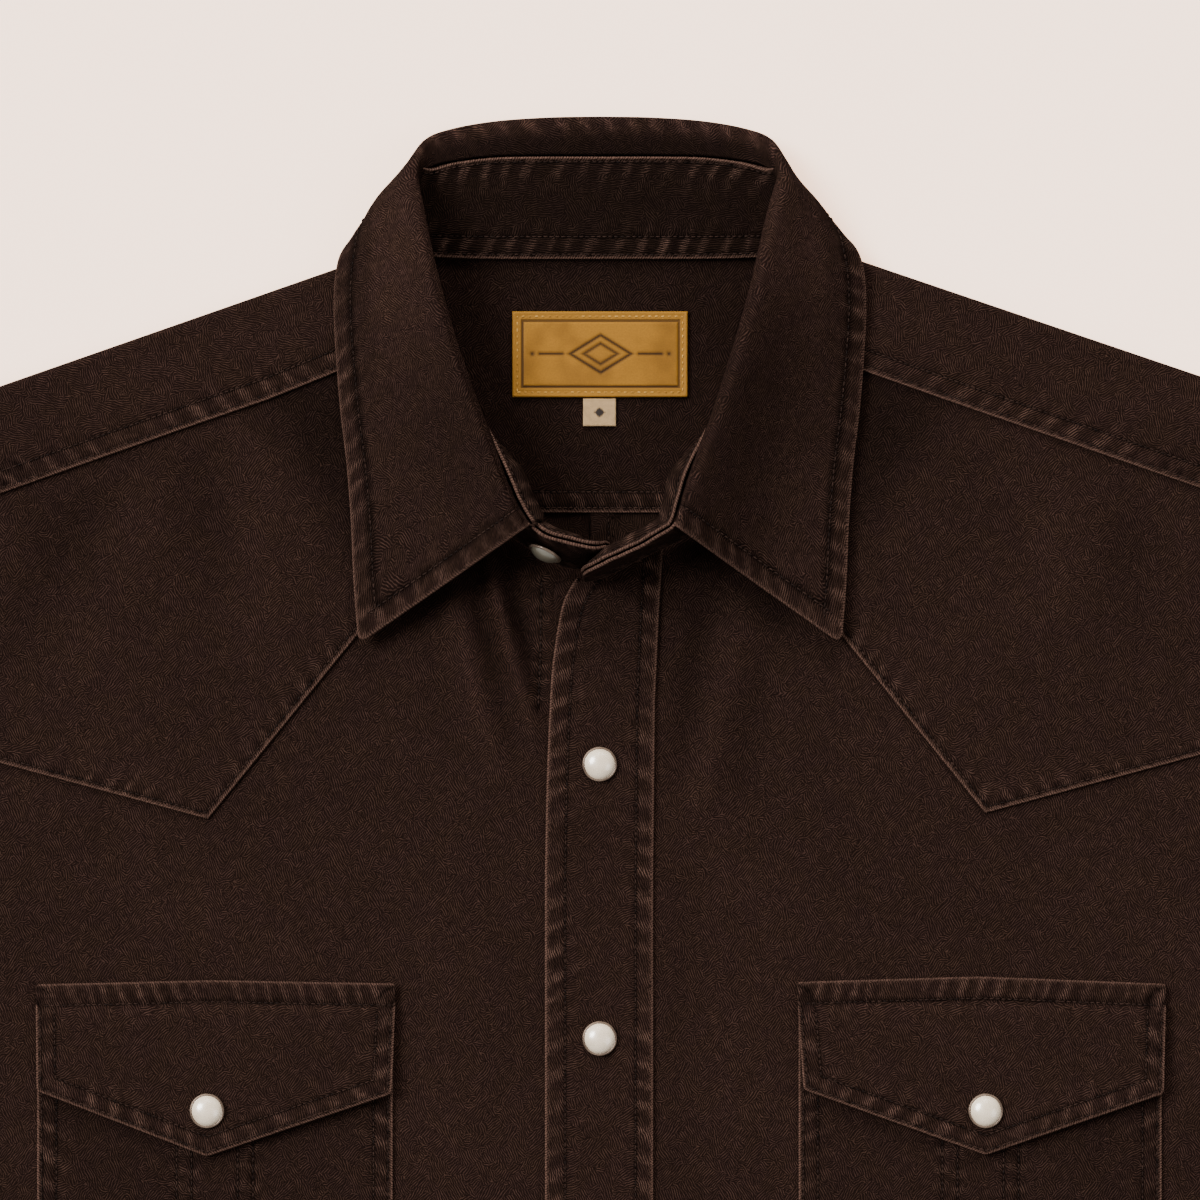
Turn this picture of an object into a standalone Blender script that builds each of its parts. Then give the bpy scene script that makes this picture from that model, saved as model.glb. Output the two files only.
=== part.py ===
"""A western snap shirt lying flat on its back, collar open, sleeves down beside the body.

Lengths in the tables are millimetres. X runs across the chest to the wearer's left, Y up to the collar,
Z off the surface it lies on. Each cut-and-sewn piece is one closed sheet of its own: its flat outline is
filled with points, laid onto a surface function, and given its wall. Pieces that lie on each other are
stacked by whole layers.
"""
import math

import bpy
import numpy as np
from mathutils import Vector
from mathutils.geometry import delaunay_2d_cdt

MM = 0.001
WALL = 1.0            # cloth wall
GAP = 0.35            # clearance between two layers at a seam
LAYER = WALL + GAP
LOFT = 2.2            # how far the front puffs off the back inside the side seams
FOLD_R = 2.4          # bend radius of the shoulder fold
BAND_WALL = 1.6       # collar cloth, two plies and interlining
YOKE_SEAM_Y = 160.6   # seam between back yoke and back
BACK_NECK_Y = 248.0
SNAP_PITCH = 90.4
SNAP_TOP_Y = 77.9
SNAP_RADIUS = 5.6
FRONT_Z = LAYER + LOFT    # underside of the front away from the side seams

# side seam and shirttail, wearer's left half: x, y
SIDE = [(275, 0), (268, -70), (265, -150), (267, -260), (271, -360), (274, -420), (269, -437)]
TAIL = [(269, -437), (250, -452), (215, -476), (160, -500), (90, -513), (0, -516)]
# armhole, from the shoulder point down to the underarm: x, y
ARMHOLE = [(232, 191), (227, 150), (228, 110), (236, 65), (252, 25), (275, 0)]
# shoulder fold as seen from above (x, y), neck end first, for each side
SHOULDER = {1: [(70.6, 249.3), (232, 194.5)], -1: [(70.6, 247.2), (232, 190.8)]}
# front shoulder seam (x, y), neck end first
FRONT_SEAM = {1: [(72.6, 212.6), (115.8, 197.3), (227.6, 158.6)],
              -1: [(72.6, 212.9), (109.6, 198.0), (136.3, 188.8), (227.5, 156.6)]}
# point of the front yoke and its ends at neck and armhole
YOKE_EDGE = {1: [(43.5, 164.5), (80.9, 118.8), (127.1, 61.7), (198, 80.9), (231, 89.8)],
             -1: [(43.5, 164.8), (81.2, 119.1), (129.4, 59.7), (198, 78.2), (231, 87.1)]}

# Collar sections, back centre to leaf corner. b: neck seam, s: leaf/stand seam, r: top of the roll,
# n_z: height just past the roll, m_z: height half way down the leaf, bow: how far the leaf bulges out
# in plan there, e: leaf edge.
COLLAR = [
    # bx    by     bz   sx    sy     sz    rx    ry     rz    n_z   m_z   bow   ex    ey     ez
    (0.0, 244.5, 2.2, 0.0, 276.5, 6.6, 0.0, 290.7, 4.2, 1.6, 0.9, 0.0, 0.0, 250.5, 0.9),
    (19., 244.5, 2.2, 17., 276.5, 6.6, 17., 290.4, 4.2, 1.6, 0.9, 0.0, 19., 250.5, 0.9),
    (39., 244.6, 2.2, 34., 276.3, 6.7, 34., 289.2, 4.4, 1.7, 0.9, 0.0, 37., 250.8, 0.9),
    (58., 245.3, 2.3, 45., 275.6, 7.3, 48., 286.8, 6.0, 3.0, 1.2, 0.0, 54., 252.0, 0.9),
    (66., 245.9, 2.8, 51., 274.2, 9.0, 56., 283.3, 9.5, 7.0, 3.0, 2.5, 66., 254.0, 1.1),
    (69.6, 242., 4.2, 54., 270.5, 12.5, 59.2, 277.5, 14.8, 14.0, 7.6, 5.5, 77., 254.4, 2.2),
    (69.9, 236., 6.2, 55., 263.8, 16.0, 57.8, 266.9, 20.5, 20.5, 13.0, 4.5, 83.2, 249.6, 5.0),
    (69.6, 229., 7.6, 54.4, 253.8, 19.0, 54.6, 256.0, 24.0, 24.6, 17.4, 2.4, 86.6, 242.6, 8.3),
    (69.0, 221., 7.6, 51.9, 239.6, 22.0, 51.2, 241.2, 26.5, 27.2, 18.8, 1.0, 87.6, 229.0, 9.0),
    (67.5, 212., 7.2, 47.5, 222.0, 24.5, 46.3, 222.8, 28.6, 29.3, 18.8, 0.4, 86.8, 211.0, 8.9),
    (64.5, 200., 6.6, 42.6, 206.0, 26.0, 40.9, 205.0, 30.0, 30.6, 18.0, 0.0, 85.4, 193.5, 8.4),
    (59.0, 185., 6.5, 37.2, 191.5, 27.2, 35.3, 188.0, 30.8, 31.2, 17.0, 0.0, 83.4, 176.0, 7.8),
    (51.0, 171.5, 6.6, 31.8, 177.5, 28.4, 29.8, 173.5, 31.6, 31.8, 16.0, 0.0, 82.0, 157.0, 7.5),
    (42.0, 161.7, 6.8, 28.2, 167.0, 29.4, 26.8, 163.5, 32.2, 32.0, 15.0, 0.0, 81.2, 138.0, 7.3),
    (33.0, 156.0, 7.2, 24.9, 159.0, 30.0, 24.4, 156.1, 32.4, 31.4, 14.0, 0.0, 79.0, 118.8, 7.2),
]
# Stand beyond the leaf corner: neck seam b and top edge s, for each side
STAND_END = {
    1: [(22.0, 150.6, 8.0, 20.3, 154.6, 31.2), (13.0, 146.4, 8.0, 12.5, 150.0, 31.4),
        (4.0, 141.6, 8.0, 3.2, 145.8, 30.6), (-2.8, 139.2, 8.6, -2.8, 142.8, 28.4),
        (-5.6, 138.8, 11.5, -5.8, 141.6, 24.0)],
    -1: [(25.5, 151.6, 6.6, 22.0, 156.9, 30.8), (18.0, 146.6, 6.6, 17.6, 153.6, 30.6),
         (10.0, 143.2, 6.6, 10.6, 151.6, 30.2), (2.0, 143.6, 7.4, 2.0, 149.8, 28.8),
         (-3.6, 146.4, 11.0, -3.6, 150.8, 23.0)],
}
# where the armhole and the sleeve head are cut, as shares of the way from its middle to either end
ARM_U = (-1.0, -0.97, -0.9, -0.75, -0.5, -0.25, 0.0, 0.25, 0.5, 0.75, 0.9, 0.97, 1.0)
ARM_SEAM = 0.8        # sleeve head clear of the body
SLEEVE_RISE = 5.4     # height of the flattened sleeve
CUFF_RISE = 5.8       # height of the flattened cuff
# sleeve edges: outer edge x, y, underarm edge x, y
SLEEVE = [
    (232.8, 191.0, 275.8, 0.0), (275, 181, 279, -5), (320, 160, 283, -11), (362, 128, 289, -19),
    (398, 82, 302, -38), (443, 17, 347, -104), (500, -64, 408, -190), (557, -146, 467, -276),
    (600, -207, 512, -341),
]
CUFF = [(600.4, -207.6, 512.4, -341.6), (606, -215, 518, -350), (642, -266, 554, -402)]


def smooth(a, b, t):
    """0 below a, 1 above b, eased between."""
    t = np.clip((np.asarray(t, float) - a) / (b - a), 0.0, 1.0)
    return t * t * (3 - 2 * t)


def catmull(rows, per_span, ends=True):
    """Points of a smooth curve through the rows of a table, per_span to each pair of rows."""
    rows = np.asarray(rows, float)
    ext = np.vstack([2 * rows[0] - rows[1], rows, 2 * rows[-1] - rows[-2]])
    out = []
    for i in range(1, len(ext) - 2):
        a, b, c, d = ext[i - 1:i + 3]
        for k in range(per_span):
            t = k / per_span
            out.append(0.5 * (2 * b + (c - a) * t + (2 * a - 5 * b + 4 * c - d) * t * t
                              + (3 * b - a - 3 * c + d) * t ** 3))
    if ends:
        out.append(rows[-1])
    return np.array(out)


def run(points, pitch, curved=False):
    """A line through points with vertices about pitch apart, corners kept."""
    points = np.asarray(points, float)
    if curved:
        points = catmull(points, 8)
        length = np.concatenate([[0], np.cumsum(np.linalg.norm(np.diff(points, axis=0), axis=1))])
        n = max(1, round(length[-1] / pitch))
        at = np.linspace(0, length[-1], n + 1)
        return np.column_stack([np.interp(at, length, points[:, k]) for k in range(points.shape[1])])
    out = [points[0]]
    for a, b in zip(points[:-1], points[1:]):
        n = max(1, round(float(np.linalg.norm(b - a)) / pitch))
        out += [a + (b - a) * k / n for k in range(1, n + 1)]
    return np.array(out)


def mirrored(points, side):
    """Points of the wearer's left half, put on the given side."""
    points = np.array(points, float)
    points[:, 0] *= side
    return points


def closed(*runs):
    """One outline from runs laid end to end, repeated points dropped, turned anticlockwise."""
    points = [np.array(p[:2], float) for r in runs for p in r]
    kept = [points[0]]
    for p in points[1:]:
        if np.hypot(*(p - kept[-1])) > 0.05:
            kept.append(p)
    if np.hypot(*(kept[0] - kept[-1])) < 0.05:
        kept.pop()
    line = np.array(kept)
    x, y = line.T
    area = float(np.sum(x * np.roll(y, -1) - y * np.roll(x, -1)))
    return line if area > 0 else line[::-1].copy()


def inset(points, amount):
    """An open line moved sideways, to its left for a positive amount."""
    points = np.asarray(points, float)[:, :2]
    along = np.gradient(points, axis=0)
    along /= np.linalg.norm(along, axis=1)[:, None]
    return points + amount * np.column_stack([-along[:, 1], along[:, 0]])


def inside(outline, points):
    """Which points lie within the closed outline."""
    x, y = points.T
    found = np.zeros(len(points), bool)
    for (x0, y0), (x1, y1) in zip(outline, np.roll(outline, -1, axis=0)):
        if y0 == y1:
            continue
        hit = (y0 > y) != (y1 > y)
        found ^= hit & (x < (x1 - x0) * (y - y0) / (y1 - y0) + x0)
    return found


def distance(outline, points):
    """Distance of each point from the closed outline."""
    best = np.full(len(points), 1e9)
    for a, b in zip(outline, np.roll(outline, -1, axis=0)):
        d = b - a
        t = np.clip(((points - a) @ d) / (d @ d), 0, 1)
        best = np.minimum(best, np.linalg.norm(points - a - t[:, None] * d, axis=1))
    return best


def fill(outline, pitch, rows=()):
    """Flat points and triangles filling an outline: a grid of the pitch and the rows given."""
    low, high = outline.min(axis=0), outline.max(axis=0)
    xs = np.arange(low[0] + pitch / 2, high[0], pitch)
    ys = np.arange(low[1] + pitch / 2, high[1], pitch)
    grid = np.array([(x + (pitch / 2 if j % 2 else 0), y) for j, y in enumerate(ys) for x in xs])
    extra = np.vstack(rows) if len(rows) else np.zeros((0, 2))
    if len(extra):
        extra = extra[inside(outline, extra)]
        extra = extra[distance(outline, extra) > 1.0]
    grid = grid[inside(outline, grid)]
    grid = grid[distance(outline, grid) > 0.45 * pitch]
    if len(extra):
        near = np.min(np.linalg.norm(grid[:, None] - extra[None], axis=2), axis=1)
        grid = grid[near > 0.5 * pitch]
    points = np.vstack([outline, extra, grid])
    n = len(outline)
    edges = [(i, (i + 1) % n) for i in range(n)]
    made = delaunay_2d_cdt([tuple(p) for p in points], edges, [], 1, 1e-6, False)
    flat, tris = np.array([tuple(v) for v in made[0]]), np.array([f for f in made[2]])
    return flat, tris[inside(outline, flat[tris].mean(axis=1))]


def finish(name, points, faces, colour, collection, edges=()):
    """One object of the shirt from points in millimetres."""
    mesh = bpy.data.meshes.new(name)
    mesh.from_pydata([tuple(p * MM) for p in points], list(edges), [tuple(f) for f in faces])
    mesh.update()
    item = bpy.data.objects.new(name, mesh)
    collection.objects.link(item)
    finish_of = bpy.data.materials.new(name + "_finish")
    finish_of.use_nodes = True
    base = finish_of.node_tree.nodes["Principled BSDF"]
    base.inputs["Base Color"].default_value = (*colour, 1)
    base.inputs["Roughness"].default_value = 0.85
    mesh.materials.append(finish_of)
    return item


def give_wall(item, wall, offset=0.0):
    """Thickens an open surface into a closed sheet; offset 0 keeps the surface in its middle."""
    sheet = item.modifiers.new("wall", "SOLIDIFY")
    sheet.thickness = wall * MM
    sheet.offset = offset
    return item


def side_x(y):
    """Half width of the body at a height, growing fast above the underarm."""
    line = np.array(SIDE)[::-1]
    y = np.asarray(y, float)
    return np.interp(y, line[:, 1], line[:, 0]) + np.maximum(y, 0) * 1.2


def front_floor(xy):
    """Underside of the lowest front layer: down at the side seams, puffed between them."""
    d = np.maximum(side_x(xy[:, 1]) - np.abs(xy[:, 0]), 0)
    return LAYER + LOFT * (1 - np.exp(-d / 16))


def on_front(layers, wall=WALL):
    """A lay function that many layers above the lowest front layer."""
    def lay(xy):
        return np.column_stack([xy, front_floor(xy) + layers * LAYER + wall / 2])
    return lay


def left_front(xy):
    """The left front climbs one layer to lie over the right front at the centre."""
    climb = LAYER * (1 - smooth(16, 34, xy[:, 0]))
    return np.column_stack([xy, front_floor(xy) + climb + WALL / 2])


def flat_at(z):
    """A lay function for a piece that lies level."""
    def lay(xy):
        return np.column_stack([xy, np.full(len(xy), z)])
    return lay


def fold_frame(side):
    """Start, unit direction and outward unit normal of the line where the flat back yoke starts to bend."""
    a, b = (np.array(p, float) * (side, 1) for p in SHOULDER[side])
    along = (b - a) / np.linalg.norm(b - a)
    out = np.array([-along[1], along[0]])
    if out[1] < 0:
        out = -out
    return a - out * (FOLD_R + WALL / 2), along, out


def unfold(side, point):
    """Where a point of the front lies in the yoke's flat outline."""
    start, along, out = fold_frame(side)
    point = np.asarray(point, float)
    s, q = (point - start) @ along, -((point - start) @ out)
    return start + along * s + out * (q + math.pi * FOLD_R)


def yoke_lay(xy):
    """The back yoke: flat on the back, bent over the shoulder fold, then down onto the front yokes."""
    made = np.column_stack([xy, np.full(len(xy), WALL / 2)])
    for side in (1, -1):
        start, along, out = fold_frame(side)
        mine = (xy[:, 0] * side > 0)
        d = (xy - start) @ out
        foot = xy - d[:, None] * out
        bend = mine & (d > 0) & (d < math.pi * FOLD_R)
        angle = d[bend] / FOLD_R
        made[bend, :2] = foot[bend] + out * (FOLD_R * np.sin(angle))[:, None]
        made[bend, 2] = WALL / 2 + FOLD_R * (1 - np.cos(angle))
        past = mine & (d >= math.pi * FOLD_R)
        q = d[past] - math.pi * FOLD_R
        made[past, :2] = foot[past] - out * q[:, None]
        low, high = WALL / 2 + 2 * FOLD_R, FRONT_Z + 2 * LAYER + WALL / 2
        made[past, 2] = low + (high - low) * smooth(0, 18, q)
    return made


def neck_line(side, offset):
    """Neck seam of one front half in plan, moved in under the stand, from the shoulder seam to the end."""
    rows = [r[:2] for r in COLLAR[9:]] + [r[:2] for r in STAND_END[side][:3]]
    line = catmull(rows, 2)
    return mirrored(inset(line, -offset), side)


def body_outline(side, pitch):
    """Side seam then hem of one half, from the underarm to the centre."""
    return mirrored(np.vstack([run(SIDE, pitch), run(TAIL, pitch)[1:]]), side)


def armhole_x(y):
    """Half width of the body at a height of the armhole."""
    line = run(ARMHOLE, 6, curved=True)
    order = np.argsort(line[:, 1])
    return float(np.interp(y, line[order, 1], line[order, 0]))


def armhole(side, top, bottom):
    """Armhole from one height to another."""
    low, high = min(top, bottom), max(top, bottom)
    between = sorted(y for y in ((1 + u) / 2 * ARMHOLE[0][1] for u in ARM_U) if low + 1 < y < high - 1)
    ys = [low, *between, high]
    return mirrored([(armhole_x(y), y) for y in (ys if top < bottom else ys[::-1])], side)


class Shirt:
    """Builds every piece into one collection."""

    def __init__(self, collection):
        self.collection = collection

    def panel(self, name, outline, lay, colour, wall=WALL, pitch=30, rows=()):
        flat, tris = fill(outline, pitch, rows)
        return give_wall(finish(name, lay(flat), tris, colour, self.collection), wall)

    def back(self):
        top = YOKE_SEAM_Y - GAP
        left = body_outline(1, 36)
        right = body_outline(-1, 36)
        line = closed(run([(-armhole_x(top), top), (armhole_x(top), top)], 40), armhole(1, top, 0),
                      left, right[::-1], armhole(-1, 0, top))
        self.panel("back", line, flat_at(WALL / 2), (0.040, 0.022, 0.016), pitch=46)

    def back_yoke(self):
        runs = []
        low = YOKE_SEAM_Y + GAP / 2
        runs.append(run([(-armhole_x(low), low), (armhole_x(low), low)], 40))
        rows = []
        for side in (1, -1):
            start, along, out = fold_frame(side)
            reach = ((armhole_x(191) - 0.6) * side - start[0]) / along[0]
            up = armhole(side, low, 186)
            corner = start + along * reach
            strip_end = [unfold(side, p) for p in run([corner, mirrored([FRONT_SEAM[side][-1]], side)[0]], 9)]
            seam = run(mirrored(FRONT_SEAM[side], side)[::-1], 22)
            flat_seam = [unfold(side, p) for p in seam]
            neck_top = start + along * ((72.8 * side - start[0]) / along[0])
            neck = [unfold(side, p) for p in run([seam[-1], neck_top], 8)]
            turn = [neck_top + out * (math.pi * FOLD_R * k / 4) for k in (4, 3, 2, 1, 0)]
            arm_turn = [corner + out * (math.pi * FOLD_R * k / 4) for k in range(5)]
            part = [up, arm_turn, strip_end, flat_seam, neck, turn,
                    mirrored([(72.8, 242.6), (69.5, 244.2), (62, 247.0), (40, BACK_NECK_Y)], side)]
            if side < 0:
                part = [list(p)[::-1] for p in part[::-1]]
            runs += part
            for q in (-4.0, 0.0, *(math.pi * FOLD_R * k / 4 for k in (1, 2, 3, 4)),
                      math.pi * FOLD_R + 6, math.pi * FOLD_R + 12, math.pi * FOLD_R + 18):
                rows.append(np.array([start + along * s + out * q for s in np.arange(-20, 190, 17)]))
        self.panel("back_yoke", closed(*runs), yoke_lay, (0.041, 0.022, 0.017), pitch=30, rows=rows)

    def front(self, side):
        name = "front_left" if side > 0 else "front_right"
        edge = mirrored(YOKE_EDGE[side], side)
        lap = edge + np.array([0, 8.0])
        lap[-1, 0] = armhole_x(lap[-1, 1]) * side
        lap[0] = neck_line(side, 0.8)[7]
        centre = (-15.0 if side > 0 else -12.0) * side
        neck = neck_line(side, 0.8)
        neck = neck[7:]
        top = neck[-1]
        if side > 0:
            neck = np.vstack([neck, [(-2.8, 140.0), (-6.5, 139.4), (centre, 137.5)]])
        else:
            neck = np.vstack([neck, [(0.0, 144.4), (6, 145.5), (-centre * side, 146)]])
        cx = neck[-1][0]
        hem = body_outline(side, 30)
        hem = hem[np.abs(hem[:, 0]) > 45]
        tail = [(x * side, -512.0 + x / 30) for x in (40.0, 34.0, 28.0, 22.0, 15.0, 0.0)] + [(cx, -512.0)]
        hem[:, 1] += 4 * smooth(437, 470, -hem[:, 1])
        line = closed(run(lap, 24), armhole(side, lap[-1, 1], 0), hem, tail,
                      run([(cx, -512.0), neck[-1]], 60), neck[::-1])
        ys = np.arange(-430, 10, 34)
        rows = [np.column_stack([(side_x(ys) - d) * side, ys]) for d in (7.0, 17.0, 32.0)]
        if side > 0:
            ys = np.arange(-490, 140, 40)
            rows += [np.column_stack([np.full(len(ys), x), ys]) for x in (14.0, 22.0, 28.0, 36.0)]
        lay = left_front if side > 0 else on_front(0)
        self.panel(name, line, lay, (0.040, 0.021, 0.016), pitch=36, rows=rows)
        return top

    def front_yoke(self, side):
        name = "front_yoke_left" if side > 0 else "front_yoke_right"
        edge = mirrored(YOKE_EDGE[side], side)
        seam = mirrored(FRONT_SEAM[side], side) + np.array([0, 7.0])
        seam[-1, 0] = armhole_x(seam[-1, 1]) * side
        neck = neck_line(side, 0.8)
        k = 8
        line = closed(run(edge, 15), armhole(side, edge[-1, 1], seam[-1, 1]), run(seam[::-1], 22)[:-1],
                      [(67.0 * side, seam[0, 1])], neck[1:k])
        self.panel(name, line, on_front(1), (0.041, 0.022, 0.017), pitch=20)

    def placket(self):
        left = run([(-7.4, 139.9), (-11.2, 133.7), (-13.2, 127), (-15.5, 112.2), (-16.5, 99), (-17.6, 72),
                    (-18.2, 40)], 12)
        right = run([(17.6, 40), (18.2, 99), (19.6, 130), (20.8, 149.0)], 14)
        neck = np.array([(20.8, 149.0), (13.0, 145.6), (4.0, 141.2), (-2.8, 138.9), (-7.4, 138.6)])
        hem = run([(-18.0, -512.6), (17.6, -512.6)], 12)
        line = closed(left, run([(-18.2, 40), (-18.0, -512.6)], 40), hem, run([(17.6, -512.6), (17.6, 40)], 40),
                      right, neck)
        self.panel("placket", line, flat_at(FRONT_Z + 2 * LAYER + WALL / 2), (0.039, 0.020, 0.015), pitch=18)

    def pocket(self, side):
        low, high = (65.5, 185.4) if side > 0 else (68.3, 185.7)
        mid = (low + high) / 2
        line = closed(run(mirrored([(low, 2), (low, -118)], side), 30),
                      run(mirrored([(low, -118), (mid, -141), (high, -118)], side), 24),
                      run(mirrored([(high, -118), (high, 2)], side), 30),
                      run(mirrored([(high, 2), (low, 2)], side), 24))
        name = "pocket_left" if side > 0 else "pocket_right"
        self.panel(name, line, on_front(1), (0.040, 0.021, 0.016), pitch=24)

    def flap(self, side):
        rows = ([(64.7, 6.1), (125.7, 7.9), (186.7, 5.5), (185.8, -30.6), (127.0, -50.8), (67.0, -29.3)]
                if side > 0 else
                [(67.2, 5.6), (127.4, 6.7), (186.1, 5.3), (185.6, -29.7), (129.5, -51.3), (68.5, -30.6)])
        points = mirrored(rows, side)
        line = closed(run(np.vstack([points, points[:1]]), 16))
        name = "flap_left" if side > 0 else "flap_right"
        self.panel(name, line, on_front(2), (0.038, 0.020, 0.015), pitch=18)

    def neck_pieces(self):
        line = closed(run([(-29, 199), (29, 199), (29, 227.4), (-29, 227.4), (-29, 199)], 15))
        self.panel("neck_patch", line, flat_at(WALL + GAP + 0.6), (0.36, 0.17, 0.055), wall=1.2, pitch=14)
        line = closed(run([(-5.6, 189.4), (5.3, 189.4), (5.3, 198.6), (-5.6, 198.6), (-5.6, 189.4)], 6))
        self.panel("size_tag", line, flat_at(WALL + GAP + 0.5), (0.62, 0.50, 0.36), wall=1.0, pitch=6)

    def band(self, name, sections, wall, colour):
        """A strip swept through sections of equal length, given its wall."""
        sections = np.asarray(sections)
        count, across = sections.shape[:2]
        tris = []
        for i in range(count - 1):
            for j in range(across - 1):
                a, b = i * across + j, (i + 1) * across + j
                tris += [(a, b, b + 1), (a, b + 1, a + 1)]
        item = finish(name, sections.reshape(-1, 3), tris, colour, self.collection)
        return give_wall(item, wall)

    def collar_rows(self):
        """Sections of the whole collar from the wearer's left corner round the back to the right."""
        half = catmull(COLLAR, 2)
        left = half[::-1].copy()
        right = half[1:].copy()
        for k in (0, 3, 6, 12):
            right[:, k] *= -1
        return left, right

    def collar(self):
        left, right = self.collar_rows()
        stand = []
        for rows, side in ((left, 1), (right, -1)):
            ends = catmull([np.concatenate([COLLAR[-1][:6]]) * (1, 1, 1, 1, 1, 1)] +
                           [list(r) for r in STAND_END[side]], 2)[1:]
            ends = ends * (side, 1, 1, side, 1, 1)
            both = np.vstack([ends[::-1], rows[:, :6]]) if side > 0 else np.vstack([rows[:, :6], ends])
            stand.append(both)
        stand = np.vstack(stand)
        sections = []
        for row in stand:
            b, s = row[:3], row[3:6]
            along = (s - b) / np.linalg.norm(s - b)
            b, s = b + along * 0.2, s - along * 0.5
            sections.append([b + (s - b) * t for t in (0, 0.35, 0.7, 1.0)])
        self.band("collar_stand", sections, BAND_WALL, (0.036, 0.019, 0.014))
        leaf = []
        for side, rows in ((1, left), (-1, right)):
            for row in rows:
                s, r, e = row[3:6], row[6:9], row[12:15]
                n_z, m_z, bow = row[9:12]
                plan = (e - r)[:2]
                unit = plan / np.linalg.norm(plan)
                start = s + (r - s) / np.linalg.norm(r - s) * 1.5
                near = np.array([*(r[:2] + unit * 3.0), n_z])
                cross = np.array([-unit[1], unit[0]]) * side
                mid = np.array([*(r[:2] + plan * 0.5 + cross * bow), m_z])
                leaf.append(catmull([start, r, near, mid, e], 2))
        self.band("collar_leaf", leaf, BAND_WALL, (0.038, 0.020, 0.015))

    def tube(self, name, stations, heights, wall, colour, head=None):
        """A flattened tube through stations of an outer and an underarm edge, open at both ends.

        head gives how far each ring point moves in plan at the first station; it fades over the next ones.
        """
        low_row = [(u, 0.14 if abs(u) > 0.95 else 0.0) for u in ARM_U[1:-1]]
        profile = [(-1, 0.5), *low_row, (1, 0.5), *((u, 1 - v) for u, v in low_row[::-1])]
        rings, n = [], len(profile)
        for k, (row, height) in enumerate(zip(stations, heights)):
            top, under = np.array(row[:2]), np.array(row[2:4])
            centre, half = (top + under) / 2, (top - under) / 2
            fade = max(0.0, 1 - k / 5) if head else 0.0
            for u, v in profile:
                at = centre + half * u
                if fade:
                    at = at + head(u) * fade
                rings.append([*at, height * v])
        faces = []
        for i in range(len(stations) - 1):
            for j in range(n):
                a, b, k = i * n, (i + 1) * n, (j + 1) % n
                faces.append((a + j, a + k, b + k, b + j))
        item = finish(name, np.array(rings), faces, colour, self.collection)
        return give_wall(item, wall, offset=-1.0)

    def sleeve(self, side):
        """Sleeve and cuff of one side; the sleeve head follows the armhole."""
        def sided(table):
            rows = [(r[0] * side, r[1], r[2] * side, r[3]) for r in table]
            return rows if side > 0 else [(r[2], r[3], r[0], r[1]) for r in rows]

        def head(u):
            share = (1 + u * side) / 2
            y = share * ARMHOLE[0][1]
            line = np.array([SLEEVE[0][2:], SLEEVE[0][:2]])
            straight = line[0] + (line[1] - line[0]) * share
            return np.array([(armhole_x(y) + ARM_SEAM - straight[0]) * side, y - straight[1]])

        word = "left" if side > 0 else "right"
        rows = sided(catmull(SLEEVE, 2))
        heights = [SLEEVE_RISE] * len(rows)
        self.tube(f"sleeve_{word}", rows, heights, WALL, (0.040, 0.021, 0.016), head)
        self.tube(f"cuff_{word}", sided(CUFF), [CUFF_RISE] * len(CUFF), 1.4, (0.038, 0.020, 0.015))

    def snap(self, name, at, out=(0, 0, 1), radius=SNAP_RADIUS):
        """A pearl snap cap, turned about its own axis: flange, rim and domed pearl."""
        profile = [(0, 2.4), (0.40, 2.3), (0.72, 1.9), (0.93, 1.3), (1.01, 0.7), (1.0, 0.0), (0, 0.0)]
        points = np.array([(r * radius, 0.0, h) for r, h in profile])
        edges = [(k, k + 1) for k in range(len(profile) - 1)]
        item = finish(name, points, [], (0.62, 0.58, 0.50), self.collection, edges)
        turn = item.modifiers.new("turn", "SCREW")
        turn.steps = turn.render_steps = 16
        turn.use_merge_vertices = True
        turn.merge_threshold = 0.0001
        item.location = Vector(at) * MM
        item.rotation_euler = Vector(out).to_track_quat("Z", "Y").to_euler()
        return item

    def snaps(self):
        top = FRONT_Z + 3 * LAYER
        for k in range(6):
            self.snap(f"snap_front_{k + 1}", (-0.1, SNAP_TOP_Y - SNAP_PITCH * k, top))
        for word, x in (("left", 127.0), ("right", -129.4)):
            self.snap(f"snap_flap_{word}", (x, -36.2, top))
        out = np.array([-0.49, -0.86, 0.12])
        base = np.array([-17.9, 149.4, 18.5]) + out / np.linalg.norm(out) * (BAND_WALL / 2 + 0.35)
        self.snap("snap_stand", base, out)
        for word, side in (("left", 1), ("right", -1)):
            for k, (x, y) in enumerate(((538.0, -352.0), (554.0, -375.0))):
                self.snap(f"snap_cuff_{word}_{k + 1}", (x * side, y, CUFF_RISE + GAP))


def main():
    for item in list(bpy.data.objects):
        bpy.data.objects.remove(item)
    collection = bpy.data.collections.new("western_snap_shirt")
    bpy.context.scene.collection.children.link(collection)
    shirt = Shirt(collection)
    shirt.back()
    shirt.back_yoke()
    for side in (1, -1):
        shirt.front(side)
        shirt.front_yoke(side)
        shirt.pocket(side)
        shirt.flap(side)
        shirt.sleeve(side)
    shirt.placket()
    shirt.neck_pieces()
    shirt.collar()
    shirt.snaps()


main()
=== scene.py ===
"""Dresses the western snap shirt: twill, leather, tape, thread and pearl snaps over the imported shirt.

Lengths are millimetres until a mesh is made. X runs across the chest to the wearer's left, Y up to the
collar, Z off the surface the shirt lies on. Each cut piece of cloth is filled with points on the flat, laid
onto its surface, puckered along its seams and closed into a sheet with rolled edges. Every row of thread is
real stitches. Flat coordinates, worn edges, puckers and needle grooves are kept on the cloth for its finish.
"""
import sys

import logging
import math
from collections.abc import Callable, Sequence
from dataclasses import dataclass, field
from enum import Enum

import bpy
import numpy as np
from mathutils import Euler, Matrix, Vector
from mathutils.geometry import delaunay_2d_cdt
from mathutils.kdtree import KDTree


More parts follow.
